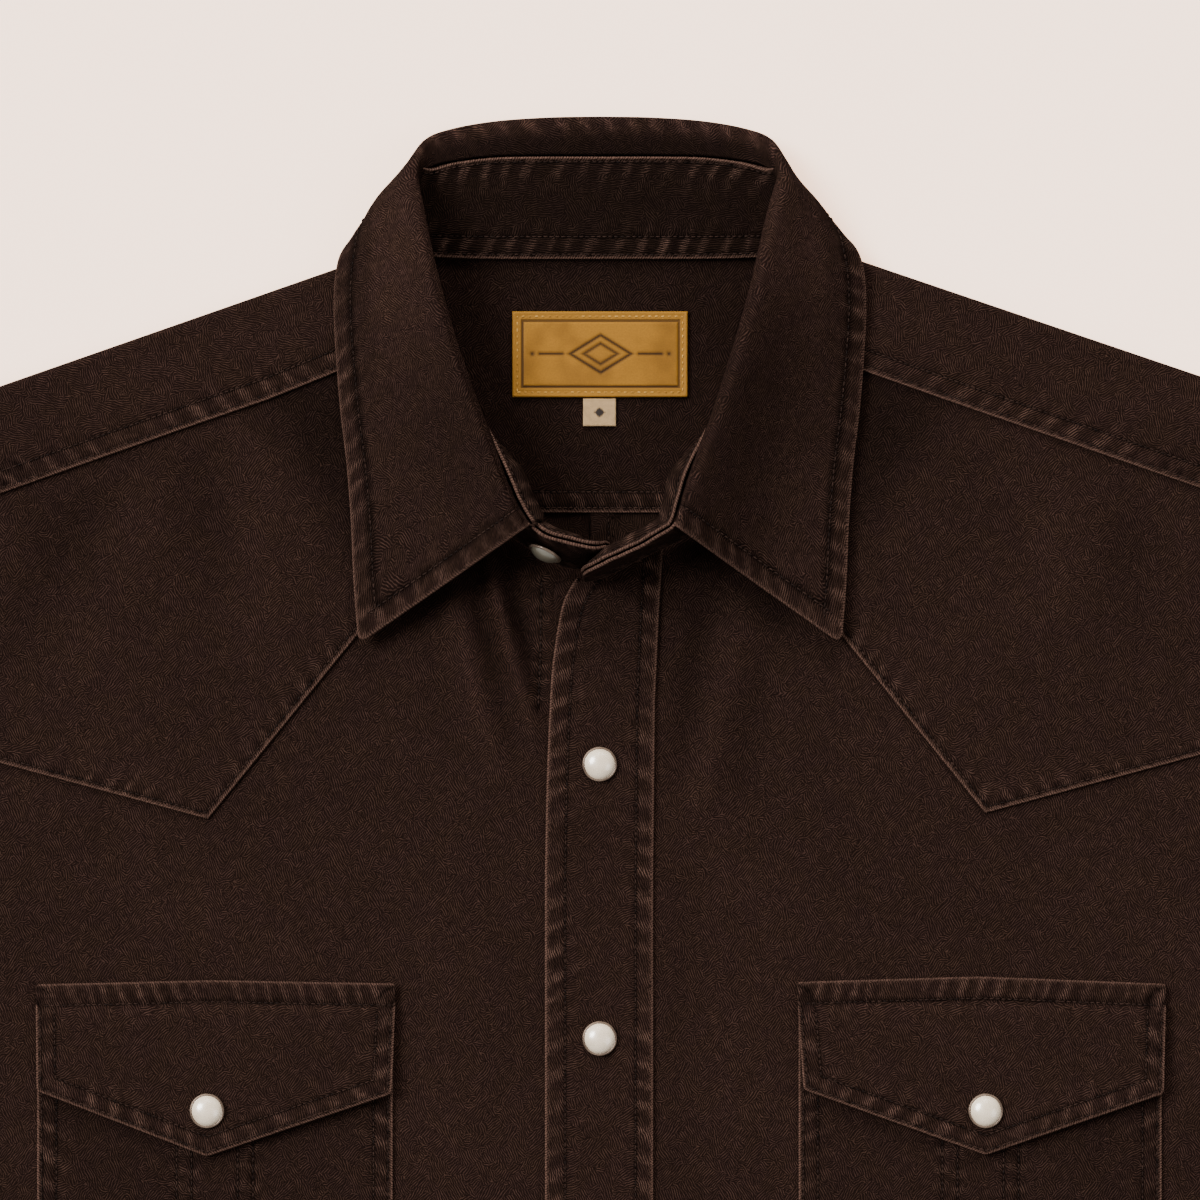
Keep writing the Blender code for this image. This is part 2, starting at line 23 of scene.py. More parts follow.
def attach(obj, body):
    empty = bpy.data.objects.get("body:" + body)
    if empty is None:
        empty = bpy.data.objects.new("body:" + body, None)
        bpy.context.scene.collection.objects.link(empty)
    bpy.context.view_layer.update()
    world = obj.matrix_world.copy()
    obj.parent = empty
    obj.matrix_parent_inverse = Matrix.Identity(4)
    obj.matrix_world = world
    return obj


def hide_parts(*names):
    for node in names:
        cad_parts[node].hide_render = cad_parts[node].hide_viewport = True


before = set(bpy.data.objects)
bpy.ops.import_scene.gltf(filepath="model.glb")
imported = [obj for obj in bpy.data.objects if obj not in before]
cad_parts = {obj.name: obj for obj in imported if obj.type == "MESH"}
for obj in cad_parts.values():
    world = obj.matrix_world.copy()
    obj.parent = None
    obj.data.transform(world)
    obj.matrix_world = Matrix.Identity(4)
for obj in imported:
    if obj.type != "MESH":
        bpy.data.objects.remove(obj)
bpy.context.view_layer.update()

log = logging.getLogger("shirt")

Array = np.ndarray
Lay = Callable[[Array], Array]
Points = tuple[tuple[float, float], ...]
Box = tuple[float, float, float, float]    # low and high corner
Colour = tuple[float, float, float]
Item = bpy.types.Object
Node = bpy.types.Node
Socket = bpy.types.NodeSocket
Outputs = bpy.types.NodeOutputs

MM = 0.001
WALL = 1.0  # cloth wall
GAP = 0.35  # clearance between two layers
LAYER = WALL + GAP
LOFT = 2.2  # how far the front puffs off the back inside the side seams
FOLD_R = 2.4  # bend radius of the shoulder fold
FRONT_Z = LAYER + LOFT
YOKE_SEAM_Y = 160.6
BACK_NECK_Y = 248.0
SNAP_PITCH = 90.4
SNAP_TOP_Y = 77.9
FRONT_SNAPS = 6
FLAP_SNAP_Y = -36.2
ARM_SEAM = -1.0  # sleeve head lapped on the body
SLEEVE_RISE = 5.4
CUFF_RISE = 5.8
CLOSE_UP = (-206.0, -72.0, 206.0, 345.0)  # the area worked in the finest detail: x, y low, x, y high
FAR = 1000.0  # what a ruler tells of points beyond its reach
FAR_ACROSS = 12.0  # distance kept on the cloth where no seam is near
UNDERSIDE = (0, 0, 40)  # how far off in the weave the other side of a cloth is cut

SIDE = [(275, 0), (268, -70), (265, -150), (267, -260), (271, -360), (274, -420), (269, -437)]
TAIL = [(269, -437), (250, -452), (215, -476), (160, -500), (90, -513), (0, -516)]
ARMHOLE = [(232, 191), (227, 150), (228, 110), (236, 65), (252, 25), (275, 0)]
SHOULDER = {1: [(70.6, 249.3), (232, 194.5)], -1: [(70.6, 247.2), (232, 190.8)]}
FRONT_SEAM = {1: [(72.6, 212.6), (115.8, 197.3), (227.6, 158.6)],
              -1: [(72.6, 212.9), (109.6, 198.0), (136.3, 188.8), (227.5, 156.6)]}
YOKE_EDGE = {1: [(43.5, 164.5), (80.9, 118.8), (127.1, 61.7), (198, 80.9), (231, 89.8)],
             -1: [(43.5, 164.8), (81.2, 119.1), (129.4, 59.7), (198, 78.2), (231, 87.1)]}
# Collar sections, back centre to leaf corner: neck seam b, leaf/stand seam s, top of the roll r, height
# just past the roll, height half way down the leaf, bow of the leaf in plan, leaf edge e.
COLLAR = [
    (0, 244.5, 2.2, 0, 278.2, 6.6, 0, 290.7, 4.2, 1.6, 0.9, 0, 0, 250.5, 0.9),
    (19, 244.5, 2.2, 18, 278.2, 6.6, 17, 290.4, 4.2, 1.6, 0.9, 0, 19, 250.5, 0.9),
    (39, 244.6, 2.2, 34, 277.9, 6.7, 34, 289.2, 4.4, 1.7, 0.9, 0, 37, 250.8, 0.9),
    (58, 245.3, 2.3, 47, 276.3, 7.3, 48, 286.6, 6, 3, 1.2, 0, 54, 252, 0.9),
    (66, 245.9, 2.8, 54.6, 274.2, 9, 56.2, 282.8, 9.5, 7, 3, 1.6, 66, 254, 1.1),
    (69.6, 242, 4.2, 58.6, 270.8, 12, 58.8, 275.6, 15.4, 14.6, 8, 2.9, 76, 253.8, 2.2),
    (69.9, 236, 6.2, 57.2, 265.4, 16, 57.6, 266.9, 20.5, 20.5, 13, 4.2, 82.6, 249.2, 5),
    (69.6, 229, 7.6, 54.4, 253.8, 19, 54.6, 256, 24, 24.6, 17.4, 1, 86.4, 242.4, 8.3),
    (69, 221, 7.6, 51.9, 239.6, 22, 51.2, 241.2, 26.5, 27.2, 18.8, 0.6, 87.6, 229, 9),
    (67.5, 212, 7.2, 47.5, 222, 24.5, 46.3, 222.8, 28.6, 29.3, 18.8, 0.4, 86.8, 211, 8.9),
    (64.5, 200, 6.6, 42.6, 206, 26, 40.9, 205, 30, 30.6, 18, 0, 85.4, 193.5, 8.4),
    (59, 185, 6.5, 37.2, 191.5, 27.2, 35.3, 188, 30.8, 31.2, 17, 0, 83.4, 176, 7.8),
    (51, 171.5, 6.6, 31.8, 177.5, 28.4, 29.8, 173.5, 31.6, 31.8, 16, 0, 82, 157, 8.4),
    (42, 161.7, 6.8, 28.2, 167, 29.4, 26.8, 163.5, 32.2, 32, 15, 0, 81.2, 138, 9.2),
    (33, 156, 7.2, 24.9, 159, 30, 24.4, 156.1, 32.4, 31.4, 14, 0, 79.6, 117.2, 9.8),
]
# The collar lies a little askew: by section, how far its fold lies further out on the wearer's right, and how
# far the leaf's shoulder lies further in on the wearer's left
FOLD_OUT = (0, 0, 0.2, 0.6, 1, 1.2, 2, 2.8, 2.9, 2.8, 2.4, 1.7, 2, 0.8, -1.2)
LEAF_IN = (0, 0, 0, 0, 0.6, 1.5, 1.7, 1.4, 0.4, 0, 0, 0, 0, 0, 0)
# Stand beyond the leaf corner: neck seam b, top edge s, and how far its inner face swells inward
STAND_END = {
    1: [(22, 150.6, 8, 20.3, 154.6, 31.2, 3.6), (13, 146.4, 8, 12.5, 150, 31.4, 4),
        (4, 141.6, 8, 3.2, 145.8, 30.6, 3.2), (-2.8, 139.2, 8.6, -2.8, 142.8, 28.4, 1.2),
        (-5.6, 138.8, 11.5, -5.8, 141.6, 24, 0)],
    -1: [(25.5, 151.6, 6.6, 22, 156.9, 30.8, 3), (18, 146.6, 6.6, 17.6, 153.6, 30.6, 3.4),
         (10, 143.2, 6.6, 10.6, 151.6, 30.2, 3), (2, 143.6, 7.4, 2, 149.8, 28.8, 1.4),
         (-3.6, 146.4, 11, -3.6, 150.8, 23, 0)],
}
# sleeve edges: outer edge x, y, underarm edge x, y
SLEEVE = [
    (232.8, 191, 275.8, 0), (275, 181, 279, -5), (320, 160, 283, -11), (362, 128, 289, -19),
    (398, 82, 302, -38), (443, 17, 347, -104), (500, -64, 408, -190), (557, -146, 467, -276),
    (600, -207, 512, -341),
]
CUFF = [(598.9, -205.5, 510.9, -339.5), (606, -215, 518, -350), (642, -266, 554, -402)]
# corners of each flap, from its inner top one, and edges of the pocket under it, both put on the left half
LEFT_POCKET = (((64.7, 6.1), (125.7, 7.9), (186.7, 5.5), (185.8, -30.6), (127, -50.8), (67, -29.3)),
               (65.5, 185.4))
RIGHT_POCKET = (((67.2, 5.6), (127.4, 6.7), (186.1, 5.3), (185.6, -29.7), (129.5, -51.3), (68.5, -30.6)),
                (68.3, 185.7))


class Side(Enum):
    """Which half of the shirt, as the wearer has it."""

    LEFT = 1
    RIGHT = -1

    def piece(self, kind: str) -> str:
        """The name of a piece on this side."""
        return f"{kind}_{self.name.lower()}"


class Slot(Enum):
    """The finishes named in the record."""

    TWILL = "twill"
    LEATHER = "leather"
    TAPE = "tag"
    PEARL = "pearl"


# ---- lines and curves on the flat


def ease(a: float, b: float, t: Array | float) -> Array:
    """0 below a, 1 above b, eased between."""
    t = np.clip((np.asarray(t, float) - a) / (b - a), 0.0, 1.0)
    return t * t * (3 - 2 * t)


def hump(t: Array, at: float, width: float) -> Array:
    """1 at a place, falling off smoothly either side of it."""
    return np.exp(-((t - at) / width) ** 2)


def unit(way: Array) -> Array:
    """A direction of length 1."""
    return way / np.linalg.norm(way)


def left_of(way: Array) -> Array:
    """A direction, or each of several, turned a quarter to its left."""
    return way[..., ::-1] * (-1, 1)


def spline(rows: Sequence, per_span: int) -> Array:
    """A smooth curve through the rows of a table.

    Args:
        rows: the points, of any number of columns.
        per_span: points made for each pair of rows.

    Returns:
        The curve's points, the last row included.
    """
    rows = np.asarray(rows, float)
    ext = np.concatenate([2 * rows[:1] - rows[1:2], rows, 2 * rows[-1:] - rows[-2:-1]])
    t = (np.arange(per_span) / per_span).reshape(-1, *([1] * (rows.ndim - 1)))
    out = []
    for i in range(1, len(ext) - 2):
        a, b, c, d = (ext[i + k][None] for k in (-1, 0, 1, 2))
        out.append(0.5 * (2 * b + (c - a) * t + (2 * a - 5 * b + 4 * c - d) * t * t
                          + (3 * b - a - 3 * c + d) * t ** 3))
    return np.concatenate([*out, rows[-1:]])


def lengths(points: Array) -> Array:
    """Distance of each point from the first, along the line."""
    steps = np.linalg.norm(np.diff(points, axis=0), axis=-1)
    return np.concatenate([np.zeros((1, *steps.shape[1:])), np.cumsum(steps, axis=0)])


def divide(points: Sequence, pitch: float) -> Array:
    """A line with points no further than pitch apart, corners kept."""
    points = np.asarray(points, float)
    out = [points[:1]]
    for a, b in zip(points[:-1], points[1:]):
        n = max(1, math.ceil(float(np.linalg.norm(b - a)) / pitch - 0.01))
        out.append(a + (b - a) * (np.arange(1, n + 1) / n)[:, None])
    return np.concatenate(out)


def curve(points: Sequence, pitch: float) -> Array:
    """A smooth line through points, evenly divided about pitch apart."""
    line = spline(points, 12)
    at = lengths(line)
    goal = np.linspace(0, at[-1], max(2, round(at[-1] / pitch) + 1))
    return np.column_stack([np.interp(goal, at, line[:, k]) for k in range(line.shape[1])])


def close_up(xy: Array) -> Array:
    """Which points lie in the area worked in the finest detail."""
    low_x, low_y, high_x, high_y = CLOSE_UP
    return (xy[:, 0] > low_x) & (xy[:, 0] < high_x) & (xy[:, 1] > low_y) & (xy[:, 1] < high_y)


def graded(line: Array, fine: float, coarse: float) -> Array:
    """A line divided at the fine pitch in the close-up area and at the coarse one elsewhere."""
    out = [line[:1]]
    for a, b in zip(line[:-1], line[1:]):
        n = max(1, math.ceil(float(np.linalg.norm(b - a)) / coarse))
        marks = a + (b - a) * (np.arange(n + 1) / n)[:, None]
        for c, d in zip(marks[:-1], marks[1:]):
            if close_up(((c + d) / 2)[None])[0]:
                k = max(1, round(float(np.linalg.norm(d - c)) / fine))
                out.append(c + (d - c) * (np.arange(1, k + 1) / k)[:, None])
            else:
                out.append(d[None])
    return np.concatenate(out)


def sided(points: Sequence, side: int) -> Array:
    """Points of the wearer's left half, put on the given side."""
    points = np.array(points, float)
    points[:, 0] *= side
    return points


def joined(*runs: Sequence) -> Array:
    """One closed outline, anticlockwise, from runs laid end to end.

    Args:
        runs: lines whose ends meet.

    Returns:
        The outline's points with repeated ones dropped.
    """
    points = np.array([p[:2] for run in runs for p in run], float)
    keep = np.linalg.norm(points - np.roll(points, 1, axis=0), axis=1) > 0.05
    line = points[keep]
    x, y = line.T
    area = float(np.sum(x * np.roll(y, -1) - y * np.roll(x, -1)))
    return line if area > 0 else line[::-1].copy()


def within(outline: Array, points: Array) -> Array:
    """Which points lie inside the closed outline."""
    x, y = points.T
    found = np.zeros(len(points), bool)
    for (x0, y0), (x1, y1) in zip(outline, np.roll(outline, -1, axis=0)):
        if y0 == y1:
            continue
        hit = (y0 > y) != (y1 > y)
        found ^= hit & (x < (x1 - x0) * (y - y0) / (y1 - y0) + x0)
    return found


def rounded(points: Array, radius: float) -> Array:
    """A closed line with its corners cut to short curves."""
    before, after = np.roll(points, 1, axis=0), np.roll(points, -1, axis=0)
    out = []
    for a, b, c in zip(before, points, after):
        start, end = (b + (q - b) / np.linalg.norm(q - b) * radius for q in (a, c))
        out += [start * (1 - t) ** 2 + 2 * b * t * (1 - t) + end * t * t for t in (0.0, 0.25, 0.5, 0.75, 1.0)]
    return np.array(out)


def parallel(line: Array, amount: float, loop: bool = False) -> Array:
    """A line moved sideways to its left, its corners mitred.

    Args:
        line: the points of the line.
        amount: how far to the left; negative goes right.
        loop: whether the last point joins the first.

    Returns:
        The moved points, as many as came in.
    """
    before = line - np.roll(line, 1, axis=0)
    after = np.roll(line, -1, axis=0) - line
    if not loop:
        before[0], after[-1] = after[0], before[-1]
    before /= np.linalg.norm(before, axis=1)[:, None] + 1e-9
    after /= np.linalg.norm(after, axis=1)[:, None] + 1e-9
    n0, n1 = left_of(before), left_of(after)
    share = np.maximum(1 + np.sum(n0 * n1, axis=1), 0.25)
    return line + amount * (n0 + n1) / share[:, None]


def sorted_tree(points: Array) -> KDTree:
    """Flat points sorted for searching."""
    tree = KDTree(len(points))
    for i, p in enumerate(points):
        tree.insert((p[0], p[1], 0.0), i)
    tree.balance()
    return tree


class Ruler:
    """A line that tells how far points lie from it and how far along it they lie."""

    def __init__(self, line: Array, loop: bool = False) -> None:
        """Divides the line and sorts its points for searching.

        Args:
            line: the points of the line.
            loop: whether the last point joins the first.
        """
        line = np.asarray(line, float)
        if loop:
            line = np.vstack([line, line[:1]])
        self.loop = loop
        self.line = divide(line, 1.2)
        self.at = lengths(self.line)
        self.tree = sorted_tree(self.line)

    def measure(self, points: Array, reach: float) -> tuple[Array, Array]:
        """Distance from the line, and place along it, of each point.

        Args:
            points: flat points.
            reach: beyond this distance a point is only told to be far.

        Returns:
            The distances, FAR where far, and the places along the line.
        """
        far = np.full(len(points), FAR)
        along = np.zeros(len(points))
        low, high = self.line.min(axis=0) - reach, self.line.max(axis=0) + reach
        near = np.flatnonzero(np.all((points > low) & (points < high), axis=1))
        if not len(near):
            return far, along
        at = points[near]
        hit = np.array([self.tree.find((x, y, 0.0))[1] for x, y in at])
        best, place = np.full(len(near), FAR), np.zeros(len(near))
        last = len(self.line) - 1
        for first in (hit - 1, hit):
            first = first % last if self.loop else np.clip(first, 0, last - 1)
            a, b = self.line[first], self.line[first + 1]
            d = b - a
            t = np.clip(np.sum((at - a) * d, axis=1) / np.maximum(np.sum(d * d, axis=1), 1e-9), 0, 1)
            gap = np.linalg.norm(at - a - t[:, None] * d, axis=1)
            better = gap < best
            best = np.where(better, gap, best)
            place = np.where(better, self.at[first] + t * (self.at[first + 1] - self.at[first]), place)
        far[near], along[near] = np.where(best < reach, best, FAR), place
        return far, along


def wander(s: Array, seed: float) -> Array:
    """A slow uneven wave along a line, between -1 and 1."""
    return 0.5 * np.sin(0.73 * s + seed) + 0.3 * np.sin(1.31 * s + 2.3 * seed) + 0.2 * np.sin(2.17 * s + seed)


# ---- seams and folds


@dataclass
class Seam:
    """A sewn edge or line: where its thread runs and how the cloth draws up beside it."""

    line: Array  # the edge on the flat
    rows: tuple[float, ...] = (1.5, 6.4)  # rows of stitches, from the edge inward
    pitch: float = 7.4  # from one pucker to the next
    lift: float = 0.24  # height of the puckers
    band: float = 6.4  # how far in the cloth puckers
    rope: float = 1.0  # how far the edge is rubbed to a rope
    face: int = 1  # the side of the cloth that shows: 1 up the normal, -1 down it
    slant: float = 0.45  # lean of the puckers
    seed: float = 0.0
    free: bool = False  # a row away from any edge, sewn on its own line
    ruler: Ruler = field(init=False)

    def __post_init__(self) -> None:
        """Makes the ruler along the line."""
        self.line = np.asarray(self.line, float)
        self.ruler = Ruler(self.line)

    def shape(self, xy: Array) -> dict[str, Array]:
        """What the seam does to the cloth at flat points.

        Args:
            xy: flat points.

        Returns:
            The height it adds, and the rope, pucker and groove masks with the place along the seam.
        """
        d, s = self.ruler.measure(xy, self.band + 9)
        turn = s / self.pitch
        wave = np.sin(2 * math.pi * (s + self.slant * d) / self.pitch + 2.1 * wander(turn, self.seed))
        wave = wave * (0.6 + 0.5 * wander(turn * 0.8, self.seed + 4))
        if self.free:
            room, rope, bead = hump(d, 0, 0.55 * self.band), 0 * d, 0.0
        else:
            room = ease(-0.8, 1.6, d) * (1 - 0.75 * ease(self.band - 1.2, self.band + 0.9, d))
            room = room * (1 - ease(self.band + 1, self.band + 8, d))
            rope, bead = self.rope * (1 - ease(3.0, 4.0, d)), self.rope * hump(d, 0.45, 0.42)
        groove = np.zeros(len(xy))
        for row in ((0.0,) if self.free else self.rows):
            groove = np.maximum(groove, hump(d, row, 0.58))
        height = self.face * (0.62 * self.lift * room * wave + 0.12 * bead - 0.24 * groove)
        return {"height": height, "rope": rope, "pucker": room * wave, "groove": groove, "along": s, "across": d,
                "drawn": room}

    def thread_lines(self, outline: Array) -> list[Array]:
        """The lines that the rows of stitches follow on the flat."""
        if self.free:
            return [self.line]
        half = len(self.line) // 2
        inner = parallel(self.line[half - 1:half + 1], 1.0)
        sign = 1 if within(outline, inner.mean(axis=0)[None])[0] else -1
        return [parallel(self.line, sign * row) for row in self.rows]


@dataclass(frozen=True)
class Fold:
    """A soft ridge, or trough where its height is negative, along a line."""

    line: Points
    width: float
    height: float

    def lift(self, xy: Array) -> Array:
        """Height it gives at flat points."""
        ruler = Ruler(curve(self.line, 6.0) if len(self.line) > 2 else np.array(self.line, float))
        d, s = ruler.measure(xy, self.width * 2.6)
        run = np.clip(s / ruler.at[-1], 0, 1)
        return self.height * hump(d, 0, self.width) * np.sqrt(np.clip(np.sin(math.pi * run), 0, 1))


# soft folds of the laid fronts: three points x, y of the line, then width and height; troughs are negative
FRONT_FOLDS = [Fold(((a, b), (c, d), (e, f)), width, height) for a, b, c, d, e, f, width, height in (
    (-158, 190, -172, 160, -196, 104, 13, -1.5), (-140, 192, -152, 150, -176, 96, 11, 0.9),
    (-126, 200, -129, 165, -124, 112, 10, -1.2), (-108, 190, -112, 150, -104, 100, 12, 0.8),
    (-95, 205, -88, 165, -84, 130, 8, -1.0), (172, 186, 176, 160, 170, 118, 11, -1.3),
    (150, 188, 154, 160, 150, 120, 12, 0.8), (98, 205, 93, 170, 90, 135, 8, -0.8),
    (-33, 152, -25.5, 124, -16.5, 90, 2.9, -3.4), (-38, 152, -31, 122, -20, 82, 2.8, 2.6),
    (-43, 150, -36, 116, -25, 76, 2.8, -2.3), (-50, 146, -43, 110, -32, 70, 3.6, 1.7),
    (-62, 138, -55, 104, -44, 62, 6.0, -1.0), (42, 150, 33, 116, 26, 66, 5.0, -1.5),
    (51, 142, 42, 104, 32, 56, 5.2, 1.3), (62, 130, 53, 96, 43, 54, 6.0, -0.9),
    (-60, 60, -52, 0, -58, -60, 16, 0.8), (46, 40, 52, -20, 44, -70, 15, 0.7),
    (-196, 40, -160, 30, -110, 34, 14, 0.6), (-240, -20, -190, -140, -200, -250, 20, 1.4),
    (240, -10, 196, -120, 210, -240, 20, 1.4), (-214, -30, -160, -180, -150, -300, 16, -1.1),
    (214, -30, 156, -190, 140, -310, 16, -1.1), (-110, -190, -90, -300, -120, -430, 18, 1.2),
    (116, -180, 84, -310, 104, -440, 18, 1.2), (-250, -330, -190, -380, -110, -470, 17, 1.0),
    (250, -340, 180, -390, 120, -480, 17, 1.0),
)]


def front_relief(xy: Array) -> Array:
    """Folds and gentle unevenness that every layer of the front shares."""
    lift = sum(fold.lift(xy) for fold in FRONT_FOLDS)
    x, y = xy.T
    lift = lift + 0.28 * np.sin(x / 23 + 0.4 * np.sin(y / 31)) * np.sin(y / 27 + 0.9) \
        + 0.14 * np.sin(x / 9.5 + y / 14)
    middle = 1 - hump(x, 0, 22)
    edge = np.clip((side_x(y) - np.abs(x)) / 18, 0, 1)
    shoulder = ease(0, 22, np.interp(np.abs(x), (72, 115, 228), (212, 197, 158)) - y)
    return lift * (0.2 + 0.8 * middle) * edge * shoulder


def fold_fade_and_painted_shade(xy: Array) -> Array:
    """Paler on the ridges of folds and deeper in their troughs, as wash fade and as painted light and shade of the
    folds together; times the painted shadow of the collar.
    """
    lift = front_relief(xy)
    # paler ridges and darker troughs: wash fade and painted fold light and shade, then the collar's painted shadow
    return np.clip(1 + 0.07 * lift + 0.04 * lift * np.abs(lift), 0.42, 1.3) * painted_collar_shadow(xy)


def painted_collar_shadow(xy: Array) -> Array:
    """Painted shadow: darker colour on the fronts under and just below the collar's leaves, where their shadow
    falls.
    """
    tip, top = np.array([79.0, 118.8]), np.array([24.4, 156.1])
    way = unit(top - tip)
    from_tip = np.column_stack([np.abs(xy[:, 0]), xy[:, 1]]) - tip
    along = from_tip @ way
    below = from_tip @ left_of(way)
    # painted shadow, full under and just below the leaf's front edge, fading out 2 to 13 mm below it and towards
    # the leaf tip
    return 1 - 0.42 * (1 - ease(2, 13, below)) * ease(4, 26, along)


# ---- surfaces the cloth is laid on


def side_x(y: Array | float) -> Array:
    """Half width of the body at a height, growing fast above the underarm."""
    line = np.array(SIDE)[::-1]
    y = np.asarray(y, float)
    return np.interp(y, line[:, 1], line[:, 0]) + np.maximum(y, 0) * 1.2


def front_floor(xy: Array) -> Array:
    """Underside of the lowest front layer: down at the side seams, puffed between them."""
    d = np.maximum(side_x(xy[:, 1]) - np.abs(xy[:, 0]), 0)
    return LAYER + LOFT * (1 - np.exp(-d / 16))


def on_front(layers: float) -> Lay:
    """A surface that many layers above the lowest front layer."""
    return lambda xy: np.column_stack([xy, front_floor(xy) + layers * LAYER + WALL / 2])


def left_front(xy: Array) -> Array:
    """The left front, climbing one layer to lie over the right front at the centre."""
    climb = LAYER * (1 - ease(16, 34, xy[:, 0]))
    return np.column_stack([xy, front_floor(xy) + climb + WALL / 2])


def level(z: float) -> Lay:
    """A level surface."""
    return lambda xy: np.column_stack([xy, np.full(len(xy), z)])


def shoulder_fold(side: int) -> tuple[Array, Array, Array]:
    """Start, direction and outward normal of the line where the flat back yoke starts to bend."""
    a, b = (np.array(p, float) * (side, 1) for p in SHOULDER[side])
    along = unit(b - a)
    out = left_of(along)
    if out[1] < 0:
        out = -out
    return a - out * (FOLD_R + WALL / 2), along, out


def unfolded(side: int, point: Sequence) -> Array:
    """Where a point of the front lies in the back yoke's flat outline."""
    start, along, out = shoulder_fold(side)
    point = np.asarray(point, float)
    s, q = (point - start) @ along, -((point - start) @ out)
    return start + along * s + out * (q + math.pi * FOLD_R)


def yoke_surface(xy: Array) -> Array:
    """The back yoke: flat on the back, bent over the shoulder, then down onto the front yokes."""
    made = np.column_stack([xy, np.full(len(xy), WALL / 2)])
    for side in (1, -1):
        start, along, out = shoulder_fold(side)
        mine = xy[:, 0] * side > 0
        d = (xy - start) @ out
        foot = xy - d[:, None] * out
        bend = mine & (d > 0) & (d < math.pi * FOLD_R)
        angle = d[bend] / FOLD_R
        made[bend, :2] = foot[bend] + out * (FOLD_R * np.sin(angle))[:, None]
        made[bend, 2] = WALL / 2 + FOLD_R * (1 - np.cos(angle))
        past = mine & (d >= math.pi * FOLD_R)
        q = d[past] - math.pi * FOLD_R
        made[past, :2] = foot[past] - out * q[:, None]
        low, high = WALL / 2 + 2 * FOLD_R, FRONT_Z + 2 * LAYER + WALL / 2
        made[past, 2] = low + (high - low) * ease(0, 18, q)
    return made


def neck_line(side: int) -> Array:
    """Neck seam of one front half in plan, moved in under the stand."""
    rows = [r[:2] for r in COLLAR[9:]] + [r[:2] for r in STAND_END[side][:3]]
    return sided(parallel(spline(rows, 2), -0.8), side)


ARM_LINE = curve(ARMHOLE, 3.0)[::-1]


def arm_x(y: float) -> float:
    """Half width of the body at a height of the armhole."""
    return float(np.interp(y, ARM_LINE[:, 1], ARM_LINE[:, 0]))


def armhole(side: int, start: float, end: float) -> Array:
    """Armhole from one height to another."""
    n = max(2, round(abs(end - start) / 5) + 1)
    return sided([(arm_x(y), y) for y in np.linspace(start, end, n)], side)


# ---- shader wiring


class Graph:
    """A node tree while it is wired."""

    def __init__(self, tree: bpy.types.NodeTree) -> None:
        """Keeps the tree."""
        self.tree = tree

    def feed(self, socket: Socket, value: object) -> None:
        """Links a socket to another, or sets its value."""
        if isinstance(value, Socket):
            self.tree.links.new(value, socket)
        else:
            socket.default_value = value

    def fed(self, node: Node, **inputs: object) -> Node:
        """A node with its named inputs fed; underscores stand for spaces."""
        for name, value in inputs.items():
            self.feed(node.inputs[name.replace("_", " ")], value)
        return node

    def add(self, kind: str, **inputs: object) -> Node:
        """A new shader node, fed."""
        return self.fed(self.tree.nodes.new("ShaderNode" + kind), **inputs)

    def math(self, how: str, *values: object, clamp: bool = False) -> Socket:
        """The result of a Math node."""
        node = self.add("Math")
        node.operation, node.use_clamp = how, clamp
        for socket, value in zip(node.inputs, values):
            self.feed(socket, value)
        return node.outputs[0]

    def times(self, a: object, b: object, clamp: bool = False) -> Socket:
        """A product."""
        return self.math("MULTIPLY", a, b, clamp=clamp)

    def plus(self, a: object, b: object) -> Socket:
        """A sum."""
        return self.math("ADD", a, b)

    def less(self, a: object, b: object) -> Socket:
        """The first value less the second."""
        return self.math("SUBTRACT", a, b)

    def mix(self, share: object, a: object, b: object, how: str = "MIX") -> Socket:
        """Two colours mixed."""
        node = self.add("Mix")
        node.data_type, node.blend_type = "RGBA", how
        for place, value in ((0, share), (6, a), (7, b)):
            self.feed(node.inputs[place], value)
        return node.outputs[2]

    def tint(self, colour: object, share: object) -> Socket:
        """A colour times a number."""
        node = self.add("VectorMath")
        node.operation = "SCALE"
        self.feed(node.inputs[0], colour if isinstance(colour, Socket) else colour[:3])
        return self.fed(node, Scale=share).outputs[0]

    def noise(self, place: object, scale: float, detail: float = 1.0, rough: float = 0.5) -> Socket:
        """The value of a noise."""
        return self.add("TexNoise", Vector=place, Scale=scale, Detail=detail, Roughness=rough).outputs[0]

    def band(self, value: object, low: float, high: object, to: tuple[float, float] = (0.0, 1.0)) -> Socket:
        """A value eased from one range to another."""
        node = self.add("MapRange", Value=value, From_Min=low, From_Max=high, To_Min=to[0], To_Max=to[1])
        node.interpolation_type = "SMOOTHSTEP"
        return node.outputs[0]

    def kept(self, name: str, out: str = "Fac") -> Socket:
        """A value kept on the mesh."""
        node = self.add("Attribute")
        node.attribute_name = name
        return node.outputs[out]

    def here(self) -> Socket:
        """The place on the piece, in metres."""
        return self.add("TexCoord").outputs["Object"]

    def relief(self, height: Socket, depth: float, strength: float) -> Socket:
        """The normal of a relief; depth is the millimetres of a height of 1."""
        return self.add("Bump", Height=height, Distance=depth * MM, Strength=strength).outputs[0]


VECTOR, COLOUR, FLOAT = "NodeSocketVector", "NodeSocketColor", "NodeSocketFloat"


